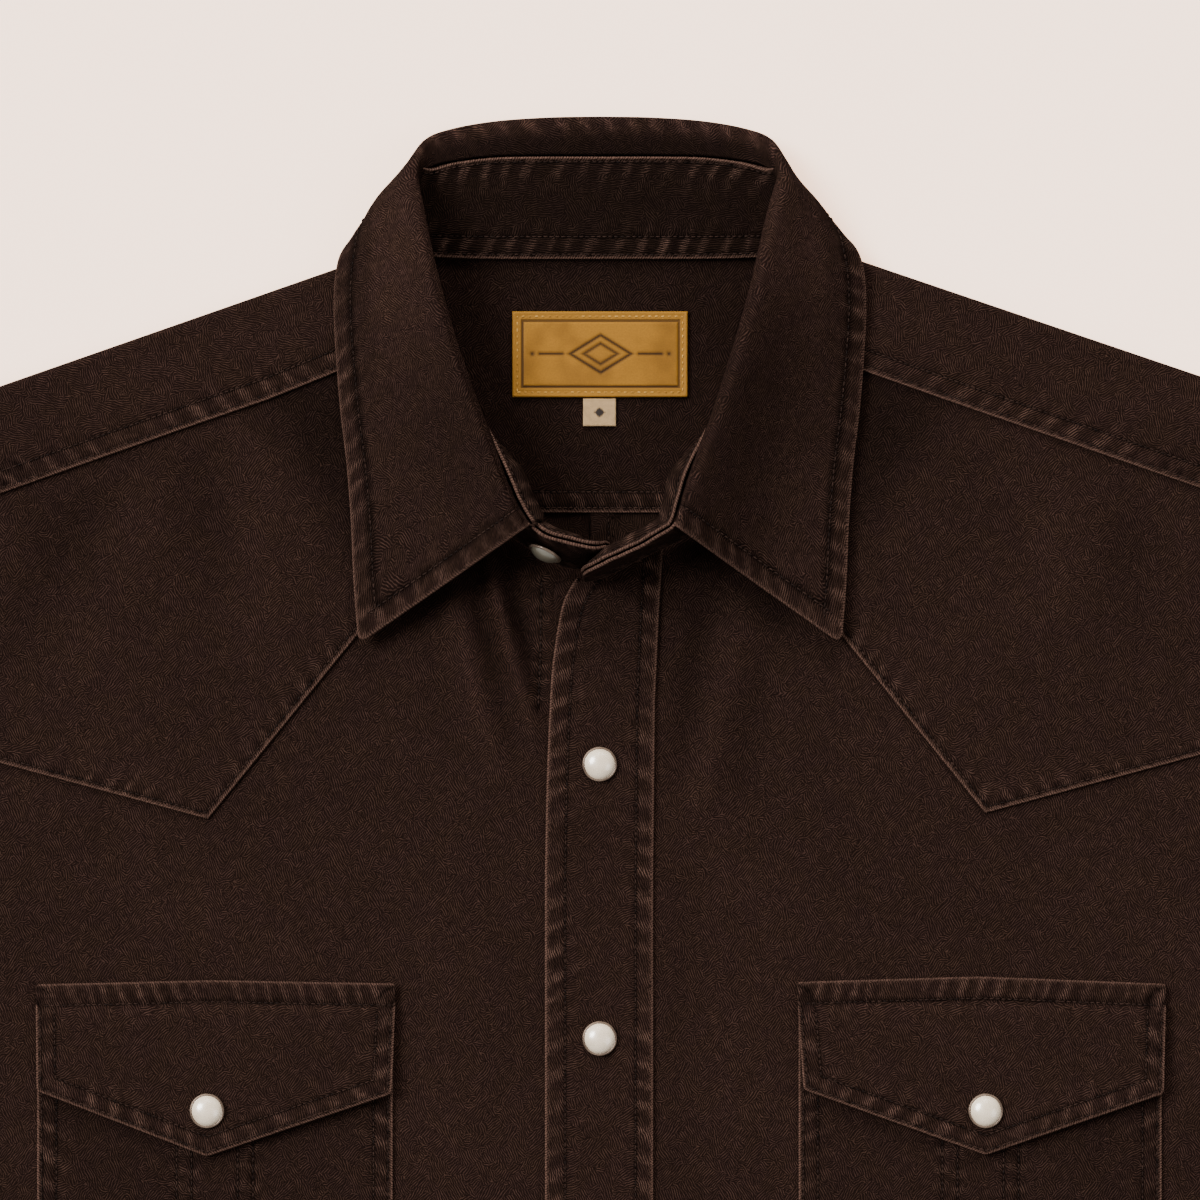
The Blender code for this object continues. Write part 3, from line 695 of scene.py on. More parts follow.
class Effect:
    """A shader node group built once and placed in each finish with its own values."""

    title: str
    takes: dict[str, str]
    gives: dict[str, str]

    @classmethod
    def tree(cls) -> bpy.types.NodeTree:
        """The group, made on first use."""
        if cls.title in bpy.data.node_groups:
            return bpy.data.node_groups[cls.title]
        tree = bpy.data.node_groups.new(cls.title, "ShaderNodeTree")
        for way, sockets in (("INPUT", cls.takes), ("OUTPUT", cls.gives)):
            for name, kind in sockets.items():
                tree.interface.new_socket(name=name, in_out=way, socket_type=kind)
        graph = Graph(tree)
        source, sink = tree.nodes.new("NodeGroupInput"), tree.nodes.new("NodeGroupOutput")
        for name, socket in cls.wire(graph, source.outputs).items():
            graph.feed(sink.inputs[name], socket)
        return tree

    @classmethod
    def put(cls, graph: Graph, **inputs: object) -> Outputs:
        """Places the group in a tree with its inputs fed, and gives its outputs."""
        node = graph.add("Group")
        node.node_tree = cls.tree()
        return graph.fed(node, **inputs).outputs

    @staticmethod
    def wire(graph: Graph, given: Outputs) -> dict[str, Socket]:
        """The sockets that the group gives out, by name."""
        raise NotImplementedError


class TwillStrokes(Effect):
    """Raised yarns of washed twill: fine short strokes that lie one way or the other in small patches."""

    title = "Twill strokes"
    takes = {"Place": VECTOR, "Pitch": FLOAT, "Lie": FLOAT, "Drawn": FLOAT}
    gives = {"Stroke": FLOAT, "Height": FLOAT}

    @staticmethod
    def wire(graph: Graph, given: Outputs) -> dict[str, Socket]:
        """Wires a ripple of one pitch whose lie turns from patch to patch and is combed beside seams."""
        place = given["Place"]
        patch = graph.band(graph.noise(place, 0.15), 0.46, 0.54, (0.42, 2.46))
        loose = graph.plus(patch, graph.times(graph.less(graph.noise(place, 0.2), 0.5), 1.3))
        combed = graph.times(given["Drawn"], graph.less(0.30, loose))
        lie = graph.plus(graph.plus(loose, combed), given["Lie"])
        ripple = graph.add("TexGabor", Vector=place, Scale=graph.math("DIVIDE", 0.4, given["Pitch"]),
                           Frequency=2.5, Anisotropy=0.93)
        ripple.gabor_type = "2D"
        graph.feed(ripple.inputs[4], lie)
        turn = graph.math("SINE", graph.times(ripple.outputs["Phase"], 2 * math.pi))
        value = graph.plus(graph.times(turn, -0.115), ripple.outputs["Value"])
        return {"Stroke": graph.band(value, 0.44, 0.93), "Height": value}


class WashMottle(Effect):
    """Uneven dye of a garment washed after sewing, warmer here and cooler there."""

    title = "Wash mottle"
    takes = {"Colour": COLOUR, "Place": VECTOR, "Amount": FLOAT}
    gives = {"Colour": COLOUR}

    @staticmethod
    def wire(graph: Graph, given: Outputs) -> dict[str, Socket]:
        """Wires broad and medium clouds that scale the colour and shift its warmth."""
        place = given["Place"]
        broad = graph.less(graph.noise(place, 0.018), 0.5)
        medium = graph.less(graph.noise(place, 0.09, 2.0, 0.6), 0.5)
        both = graph.plus(graph.times(broad, 1.2), medium)
        warmth = graph.band(graph.noise(place, 0.11, 2.0), 0.35, 0.65)
        shift = graph.mix(warmth, (0.995, 0.985, 1.03, 1.0), (1.005, 1.015, 0.97, 1.0))
        return {"Colour": graph.tint(graph.mix(1.0, given["Colour"], shift, "MULTIPLY"),
                                     graph.plus(graph.times(both, given["Amount"]), 1.0))}


class SeamWear(Effect):
    """Rubbed ropes and whipped edges; pucker ridges paled as rubbed wear and painted light, pucker hollows darkened
    as painted shade; and needle grooves.
    """

    title = "Seam wear"
    takes = {"Colour": COLOUR, "Worn": COLOUR,
             **dict.fromkeys(("Stroke", "Rope", "Pucker", "Groove", "Along", "Across", "Twist"), FLOAT)}
    gives = {"Colour": COLOUR, "Height": FLOAT}

    @staticmethod
    def wire(graph: Graph, given: Outputs) -> dict[str, Socket]:
        """Wires the wear, and the painted light and shade of the puckers, from the masks kept on the cloth."""
        along, across, pucker = given["Along"], given["Across"], given["Pucker"]
        line = graph.add("CombineXYZ", X=along).outputs[0]
        turn = graph.plus(graph.math("DIVIDE", graph.plus(along, graph.times(across, 0.55)), given["Twist"]),
                          graph.times(graph.noise(line, 0.9), 1.6))
        bead = graph.band(graph.math("SINE", graph.times(turn, 2 * math.pi)), -0.7, 0.8)
        core = graph.times(graph.band(across, 0.4, 0.85, (1.0, 0.0)), graph.plus(graph.times(bead, 0.46), 0.14))
        reach = graph.band(graph.noise(line, 0.42), 0.3, 0.75, (1.1, 3.0))
        whip = graph.times(graph.band(across, 0.4, reach, (0.26, 0.0)), bead)
        rope = graph.times(given["Rope"], graph.math("MAXIMUM", core, whip), clamp=True)
        # pucker hollows, darkened below as painted shade
        low = graph.math("MAXIMUM", graph.times(pucker, -1.0), 0.0)
        # pucker ridges paled towards the worn colour: rubbed wear and painted light
        rubbed_and_lit = graph.times(graph.math("MAXIMUM", pucker, 0.0),
                          graph.plus(graph.times(given["Stroke"], 0.68), 0.02), clamp=True)
        shade, needle = (graph.less(1.0, graph.times(dark, share))
                         for dark, share in ((low, 0.27), (given["Groove"], 0.72)))
        colour = graph.mix(rubbed_and_lit, given["Colour"], given["Worn"])
        colour = graph.tint(colour, graph.times(shade, needle, clamp=True))
        return {"Colour": graph.mix(rope, colour, given["Worn"]), "Height": graph.times(rope, 0.8)}


# ---- finishes


def linear(colour: Colour) -> tuple[float, ...]:
    """A display colour of 0 to 255 as a scene colour."""
    shares = (value / 255 for value in colour)
    return (*(v / 12.92 if v <= 0.04045 else ((v + 0.055) / 1.055) ** 2.4 for v in shares), 1.0)


class Finish:
    """A material made on first use and shared after that."""

    name: str

    def material(self) -> bpy.types.Material:
        """The finish's material."""
        if self.name in bpy.data.materials:
            return bpy.data.materials[self.name]
        made = bpy.data.materials.new(self.name)
        made.use_nodes = True
        self.wire(Graph(made.node_tree), made.node_tree.nodes["Principled BSDF"])
        return made

    def wire(self, graph: Graph, shader: Node) -> None:
        """Wires the finish into its shader."""
        raise NotImplementedError


@dataclass(frozen=True)
class Twill(Finish):
    """Garment-washed cotton twill."""

    name: str = "twill_face"
    ground: Colour = (21, 12.2, 9.5)
    stroke: Colour = (59, 41, 34)
    # worn colour: rubbed ropes, and the painted light on pucker ridges
    worn: Colour = (112, 84, 72)
    pitch: float = 0.74
    lie: float = 0.0
    mottle: float = 0.2
    twist: float = 0.85

    def wire(self, graph: Graph, shader: Node) -> None:
        """Ground and raised yarns, uneven dye with the painted shade and light of the kept tone, then wear and the
        painted light and shade of the puckers from the seam masks.
        """
        place = graph.kept("place", "Vector")
        yarn = TwillStrokes.put(graph, Place=place, Pitch=self.pitch, Lie=self.lie, Drawn=graph.kept("drawn"))
        dyed_and_shaded = graph.mix(yarn["Stroke"], linear(self.ground), linear(self.stroke))
        # the kept tone is dye and, on some pieces, painted shade and light
        dyed_and_shaded = graph.tint(dyed_and_shaded, graph.kept("tone"))
        washed = WashMottle.put(graph, Colour=dyed_and_shaded, Place=place, Amount=self.mottle)
        masks = {name.title(): graph.kept(name) for name in ("rope", "pucker", "groove", "along", "across")}
        wear = SeamWear.put(graph, Colour=washed["Colour"], Worn=linear(self.worn), Stroke=yarn["Stroke"],
                            Twist=self.twist, **masks)
        height = graph.plus(yarn["Height"], wear["Height"])
        graph.fed(shader, Base_Color=wear["Colour"], Roughness=graph.band(yarn["Stroke"], 0.0, 1.0, (0.94, 0.80)),
                  Specular_IOR_Level=0.03, Normal=graph.relief(height, 0.14, 0.8))


@dataclass(frozen=True)
class Thread(Finish):
    """Spun sewing thread, a shade lighter than the cloth."""

    name: str = "thread_brown"
    dark: Colour = (20, 12, 9.5)
    light: Colour = (48, 33, 27)

    def wire(self, graph: Graph, shader: Node) -> None:
        """Two browns in short lengths, with the twist of the ply as relief."""
        cloud = graph.noise(graph.here(), 260.0, 2.0, 0.6)
        colour = graph.mix(graph.band(cloud, 0.35, 0.65), linear(self.dark), linear(self.light))
        graph.fed(shader, Base_Color=colour, Roughness=graph.band(cloud, 0.3, 0.7, (0.62, 0.8)),
                  Specular_IOR_Level=0.1, Normal=graph.relief(graph.noise(graph.here(), 2600.0), 0.05, 0.6))


@dataclass(frozen=True)
class Pearl(Finish):
    """Pearl snap cap: milky, faintly clouded, lacquered."""

    name: str = "pearl_cap"
    light: Colour = (249, 228, 199)
    deep: Colour = (236, 214, 184)

    def wire(self, graph: Graph, shader: Node) -> None:
        """Soft clouds of cream in the body under a clear coat."""
        cloud = graph.noise(graph.here(), 190.0, 2.0)
        colour = graph.mix(graph.band(cloud, 0.35, 0.65), linear(self.deep), linear(self.light))
        graph.fed(shader, Base_Color=colour, Roughness=graph.band(cloud, 0.3, 0.7, (0.42, 0.5)), Coat_Weight=1.0,
                  Coat_Roughness=0.25, Coat_IOR=2.5, Normal=graph.relief(cloud, 0.01, 0.2))


@dataclass(frozen=True)
class SnapRim(Finish):
    """Rolled metal rim of a snap, dulled to a warm beige."""

    name: str = "snap_rim"
    light: Colour = (128, 108, 92)
    deep: Colour = (88, 72, 60)

    def wire(self, graph: Graph, shader: Node) -> None:
        """Faint tarnish clouds on soft metal."""
        cloud = graph.noise(graph.here(), 130.0)
        colour = graph.mix(graph.band(cloud, 0.35, 0.7), linear(self.deep), linear(self.light))
        graph.fed(shader, Base_Color=colour, Roughness=graph.band(cloud, 0.3, 0.7, (0.28, 0.42)), Metallic=0.3,
                  Normal=graph.relief(cloud, 0.01, 0.3))


@dataclass(frozen=True)
class Leather(Finish):
    """Vegetable-tanned leather, golden tan, darker where pressed and at its cut edge."""

    name: str = "leather_tan"
    ground: Colour = (141, 96, 30)
    deep: Colour = (119, 80, 25)
    band: Colour = (150, 104, 35)
    pressed: Colour = (27, 14, 9)

    def wire(self, graph: Graph, shader: Node) -> None:
        """Mottled tan with pebbled grain, pressed lines dark."""
        place = graph.kept("place", "Vector")
        fine = graph.noise(place, 1.6, 3.0, 0.65)
        colour = graph.mix(graph.band(graph.noise(place, 0.07, 2.0), 0.3, 0.6), linear(self.deep),
                           linear(self.ground))
        colour = graph.mix(graph.kept("tone"), linear(self.band), colour)
        colour = graph.tint(colour, graph.band(fine, 0.25, 0.75, (0.88, 1.10)))
        colour = graph.mix(graph.kept("groove"), colour, linear(self.pressed))
        colour = graph.mix(graph.times(graph.kept("rope"), 0.55, clamp=True), colour, linear(self.deep))
        cell = graph.add("TexVoronoi", Vector=place, Scale=1.5).outputs["Distance"]
        height = graph.plus(graph.times(cell, 0.6), fine)
        graph.fed(shader, Base_Color=colour, Roughness=graph.band(fine, 0.3, 0.7, (0.52, 0.68)),
                  Specular_IOR_Level=0.15, Normal=graph.relief(height, 0.07, 0.6))


@dataclass(frozen=True)
class Tape(Finish):
    """Woven cream label tape with a small dark woven mark."""

    name: str = "tape_cream"
    ground: Colour = (174, 143, 103)
    deep: Colour = (142, 113, 78)
    mark: Colour = (40, 31, 26)
    ribs: tuple[float, float] = (0.42, 0.34)  # pitch of the warp and of the weft

    def wire(self, graph: Graph, shader: Node) -> None:
        """Fine ribs across the tape."""
        place = graph.kept("place", "Vector")
        parts = graph.add("SeparateXYZ", Vector=place).outputs
        warp, weft = (graph.math("SINE", graph.times(parts[k], 2 * math.pi / self.ribs[k])) for k in (0, 1))
        weave = graph.band(graph.times(warp, weft), -1.0, 1.0)
        cloud = graph.noise(place, 0.5, 2.0)
        colour = graph.mix(graph.times(graph.band(weave, 0.0, 1.0), 0.5), linear(self.ground), linear(self.deep))
        colour = graph.tint(colour, graph.band(cloud, 0.3, 0.7, (0.90, 1.06)))
        graph.fed(shader, Base_Color=graph.mix(graph.kept("groove"), colour, linear(self.mark)),
                  Roughness=graph.band(cloud, 0.3, 0.7, (0.85, 0.95)), Normal=graph.relief(weave, 0.08, 0.7))


@dataclass(frozen=True)
class PaleFloor(Finish):
    """Matt pale paper under the shirt, evenly lit from below."""

    name: str = "floor_paper"
    ground: Colour = (236, 229, 224)
    glow: Colour = (2.2, 1.22, 0.68)

    def wire(self, graph: Graph, shader: Node) -> None:
        """Paper with the faintest cloud."""
        cloud = graph.noise(graph.here(), 9.0, 3.0, 0.6)
        colour = graph.tint(linear(self.ground), graph.band(cloud, 0.2, 0.8, (0.985, 1.015)))
        graph.fed(shader, Base_Color=colour, Roughness=0.95, Specular_IOR_Level=0.1,
                  Emission_Color=(*self.glow, 1), Emission_Strength=1.0)


FACE = Twill()
COLLAR_FACE = Twill(name="twill_collar", mottle=0.25, pitch=0.68)
# The wrong side of the twill, darker than the face: partly its own colour, partly painted shade for the inside of
# the neck, where it shows.
INSIDE = Twill(name="twill_inside", ground=(18.5, 10.6, 8), stroke=(49, 34, 27.5), lie=-0.35)
THREAD = Thread()
CREAM = Thread("thread_cream", (150, 105, 42), (198, 152, 78))


# ---- meshes


def placed(name: str, data: bpy.types.ID) -> Item:
    """An object linked to the scene."""
    item = bpy.data.objects.new(name, data)
    bpy.context.scene.collection.objects.link(item)
    return item


def mesh_of(name: str, points: Array, faces: Array, *finishes: Finish, kept: dict[str, Array] | None = None
            ) -> Item:
    """An object of triangles.

    Args:
        name: the piece's name.
        points: its points in millimetres.
        faces: rows of three point numbers.
        finishes: its finishes, the first on every face.
        kept: values kept on the points, by name.

    Returns:
        The object, linked to the scene.
    """
    mesh = bpy.data.meshes.new(name)
    faces = np.asarray(faces, np.int32)
    mesh.vertices.add(len(points))
    mesh.vertices.foreach_set("co", (np.asarray(points, float) * MM).astype(np.float32).ravel())
    mesh.loops.add(faces.size)
    mesh.loops.foreach_set("vertex_index", faces.ravel())
    mesh.polygons.add(len(faces))
    mesh.polygons.foreach_set("loop_start", np.arange(0, faces.size, 3, dtype=np.int32))
    mesh.update(calc_edges=True)
    mesh.validate()
    mesh.shade_smooth()
    for key, values in (kept or {}).items():
        flat = np.asarray(values, np.float32)
        kind, slot = ("FLOAT_VECTOR", "vector") if flat.ndim == 2 else ("FLOAT", "value")
        mesh.attributes.new(key, kind, "POINT").data.foreach_set(slot, flat.ravel())
    for finish in finishes:
        mesh.materials.append(finish.material())
    return placed(name, mesh)


def capped(rings: int, steps: int) -> Array:
    """Triangles of a closed body made of a first point, rings of points and a last point.

    Args:
        rings: how many rings.
        steps: points in each ring.

    Returns:
        Rows of three point numbers, from the first point to the last.
    """
    a = 1 + np.arange(steps)
    b = 1 + (a % steps)
    sides = [np.column_stack(face) + r * steps for r in range(rings - 1)
             for face in ((a, b, b + steps), (a, b + steps, a + steps))]
    last = (rings - 1) * steps
    return np.vstack([np.column_stack([0 * a, b, a]), *sides,
                      np.column_stack([a + last, b + last, 0 * a + rings * steps + 1])])


def install(item: Item, node: str) -> Item:
    """Sets a piece on the body in place of its solid."""
    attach(item, "root")
    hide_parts(node)
    return item


@dataclass
class Cloth:
    """One cut piece of cloth, from flat outline to a closed, sewn sheet."""

    node: str
    outline: Array
    lay: Lay
    seams: list[Seam]
    relief: Lay | None = None
    finish: Finish = FACE
    slot: Slot = Slot.TWILL
    name: str = ""  # its own name where it isn't the node's
    wall: float = WALL
    fine: float = 2.1
    coarse: float = 11.0
    shift: float = 0.0  # moved along its normal
    face: int = 1  # which side shows
    extra: list[Array] = field(default_factory=list)
    weave: Lay | None = None
    tone: Lay | None = None  # how light its colour is: its dye, and on some pieces painted shade and light
    origin: tuple[float, float] = (0.0, 0.0)  # where its weave is cut from
    rests_on: tuple[str, ...] = ()
    held: str = "laid"
    whole: bool = False  # worked at the fine pitch everywhere
    turned: float = 0.0  # length turned under, both ends together
    spool: Finish | None = THREAD  # what it is sewn with
    stitch: tuple[float, float, float] = (1.4, 1.95, 0.22)  # length, pitch and thickness
    rim_steps: tuple[float, ...] = (0.09, 0.3, 0.62, 1.15, 1.9)  # rows of points that round its edge

    def height(self, xy: Array) -> Array:
        """Height of the worked cloth above its surface."""
        total = self.relief(xy) if self.relief else np.zeros(len(xy))
        for seam in self.seams:
            total = total + seam.shape(xy)["height"]
        return total

    def frames(self, xy: Array) -> tuple[Array, Array]:
        """Laid points and unit normals of flat points."""
        step = 0.25
        dx, dy = (self.lay(xy + way) - self.lay(xy - way) for way in (np.array((step, 0)), np.array((0, step))))
        normal = np.cross(dx, dy)
        return self.lay(xy), normal / (np.linalg.norm(normal, axis=1)[:, None] + 1e-12)

    def fill(self) -> tuple[Array, Array]:
        """Flat points and triangles of the piece; the outline's points come first."""
        loop = np.vstack([self.outline, self.outline[:1]])
        edge = (divide(loop, self.fine) if self.whole else graded(loop, self.fine, self.coarse))[:-1]
        near = Ruler(edge, loop=True)

        def clear(points: Array, room: float) -> Array:
            """The points inside the edge that keep their distance from it."""
            points = points[within(edge, points)]
            return points[near.measure(points, 4)[0] > room]

        rings = [clear(parallel(edge, d, loop=True), 0.8 * d) for d in self.rim_steps]
        rows = [divide(parallel(line, offset), 1.9) for seam in self.seams for line in seam.thread_lines(edge)
                for offset in (-0.85, 0.0, 0.85)]
        inner = clear(np.vstack([*rows, *self.extra]), 2.3)
        if not self.whole:
            inner = inner[close_up(inner) | (np.arange(len(inner)) % 3 == 0)]
        low, high = edge.min(axis=0), edge.max(axis=0)
        grids = []
        for pitch in (self.fine,) if self.whole else (self.fine, self.coarse):
            xs = np.arange(low[0] + pitch * 0.5, high[0], pitch)
            ys = np.arange(low[1] + pitch * 0.5, high[1], pitch * 0.87)
            grid = np.stack(np.meshgrid(xs, ys), axis=-1)
            grid[1::2, :, 0] += pitch / 2
            grid = grid.reshape(-1, 2)
            grids.append(grid if self.whole else grid[close_up(grid) == (pitch == self.fine)])
        grid = clear(np.vstack(grids), 2.4)
        if len(inner):
            tree = sorted_tree(inner)
            grid = grid[np.array([tree.find((x, y, 0.0))[2] for x, y in grid]) > 0.55 * self.fine]
        points = np.vstack([edge, *rings, inner, grid])
        n = len(edge)
        made = delaunay_2d_cdt([tuple(p) for p in points.tolist()], [(i, (i + 1) % n) for i in range(n)],
                               [], 1, 1e-4, False)
        flat, tris = np.array([tuple(v) for v in made[0]]), np.array(made[2], int)
        return flat, tris[within(edge, flat[tris].mean(axis=1))]

    def build(self) -> None:
        """Makes the closed sheet, sewn and finished."""
        flat, tris = self.fill()
        d, _ = Ruler(self.outline, loop=True).measure(flat, 5)
        at, normal = self.frames(flat)
        masks = {key: np.zeros(len(flat)) for key in ("rope", "pucker", "groove", "along", "drawn")}
        masks["across"] = np.full(len(flat), FAR_ACROSS)
        height = self.relief(flat) if self.relief else np.zeros(len(flat))
        for seam in self.seams:
            made = seam.shape(flat)
            height = height + made["height"]
            for key in ("rope", "groove", "drawn"):
                masks[key] = np.maximum(masks[key], made[key])
            masks["pucker"] = masks["pucker"] + made["pucker"]
            nearer = (made["across"] < masks["across"]) & (made["rope"] + made["drawn"] > 0.01)
            for key in ("along", "across"):
                masks[key] = np.where(nearer, made[key], masks[key])
        masks["tone"] = self.tone(flat) if self.tone else np.ones(len(flat))
        masks.update(self.marks(flat))
        half = self.wall / 2
        thick = normal * (half * np.sqrt(1 - (1 - np.clip(d / half, 0, 1)) ** 2))[:, None]
        middle = at + normal * (height + self.shift)[:, None]
        body = d >= 0.02  # points off the rim have one on each side
        tris = tris[body[tris].any(axis=1)]
        under = np.arange(len(flat))
        under[body] = len(flat) + np.arange(int(body.sum()))
        place = (self.weave(flat) if self.weave else flat) + np.array(self.origin)
        place = np.column_stack([place, np.zeros(len(flat))])
        kept = {"place": np.vstack([place, place[body] + UNDERSIDE])}
        kept |= {key: np.concatenate([values, values[body]]) for key, values in masks.items()}
        name = self.name or self.node
        item = mesh_of(name + "_cloth", np.vstack([middle + thick, (middle - thick)[body]]),
                       np.vstack([tris, under[tris][:, ::-1]]), self.finish, kept=kept)
        install(item, self.node)
        self.declare(flat, tris, [self.sew(name)] if self.spool else [])

    def marks(self, flat: Array) -> dict[str, Array]:
        """Masks that a special piece sets by itself."""
        return {}

    def sew(self, name: str) -> Item:
        """The thread of the rows of stitches along every seam."""
        needle = Needle(self, *self.stitch)
        for seam in self.seams:
            for line in seam.thread_lines(self.outline):
                needle.row(line, seam.face)
        return install(needle.thread(name, self.spool), self.node)

    def declare(self, flat: Array, tris: Array, threads: list[Item]) -> None:
        """Args:
            flat: its flat points.
            tris: its triangles.
            threads: the thread sewn to it; not used.
        """
        a, b, c = self.lay(flat)[tris].transpose(1, 0, 2)


@dataclass
class Needle:
    """Lays stitches on a piece of cloth."""

    cloth: Cloth
    length: float
    pitch: float
    thick: float
    ring: int = 5  # points round the thread
    parts: list[Array] = field(default_factory=list)

    @staticmethod
    def read(line: Array, marks: Array) -> Array:
        """Points of a line at distances along it."""
        at = lengths(line)
        return np.column_stack([np.interp(marks, at, column) for column in line.T])

    def row(self, line: Array, face: int) -> None:
        """One row of stitches on the flat line, showing on the given face of the cloth."""
        marks = np.arange(self.pitch, lengths(line)[-1] - self.pitch, self.pitch)
        if not len(marks):
            return
        marks = marks + 0.07 * np.sin(marks * 2.9)
        spots = [self.read(line, marks + share * self.length) for share in (-0.5, -0.25, 0.25, 0.5)]
        inside = within(self.cloth.outline, spots[0]) & within(self.cloth.outline, spots[-1])
        if not inside.any():
            return
        centres, normals = [], []
        for spot, lift in zip(spots, (-0.20, 0.02, 0.02, -0.20)):
            spot = spot[inside]
            point, normal = self.cloth.frames(spot)
            up = self.cloth.height(spot) + self.cloth.shift + face * (self.cloth.wall / 2 + 0.16 + lift)
            centres.append(point + normal * up[:, None])
            normals.append(normal * face)
        self.parts.append(self.capsules(centres, normals))

    def capsules(self, centres: list[Array], normals: list[Array]) -> Array:
        """Points of the stitches, ring by ring.

        Args:
            centres: four points along each stitch.
            normals: the cloth's normals there.

        Returns:
            An array of stitch, point, coordinate.
        """
        along = centres[-1] - centres[0]
        along /= np.linalg.norm(along, axis=1)[:, None] + 1e-12
        turn = np.linspace(0, 2 * math.pi, self.ring, endpoint=False)[None, :, None]
        rings = [(centres[0] - along * 0.1)[:, None]]
        for centre, normal, width in zip(centres, normals, (0.62, 1.0, 1.0, 0.62)):
            ring = np.cross(normal, along)[:, None] * np.cos(turn) * 1.08 + normal[:, None] * np.sin(turn) * 0.8
            rings.append(centre[:, None] + ring * self.thick * width)
        return np.concatenate([*rings, (centres[-1] + along * 0.1)[:, None]], axis=1)

    def thread(self, name: str, finish: Finish = THREAD) -> Item:
        """All the stitches as one piece of thread."""
        stitches = np.concatenate(self.parts)
        count, per = stitches.shape[:2]
        faces = capped(4, self.ring)[None] + (np.arange(count) * per)[:, None, None]
        return mesh_of(name + "_thread", stitches.reshape(-1, 3), faces.reshape(-1, 3), finish)


# ---- the body


def arm_seam(line: Array) -> Seam:
    """The seam that a front's edge is set into the sleeve with."""
    return Seam(line, rows=(1.7, 6.4), rope=0.3, pitch=8.5, seed=6)


def body_edge(side: int) -> Array:
    """Side seam then hem of one half, from the underarm to the centre."""
    return sided(np.vstack([curve(SIDE, 8), curve(TAIL, 8)[1:]]), side)


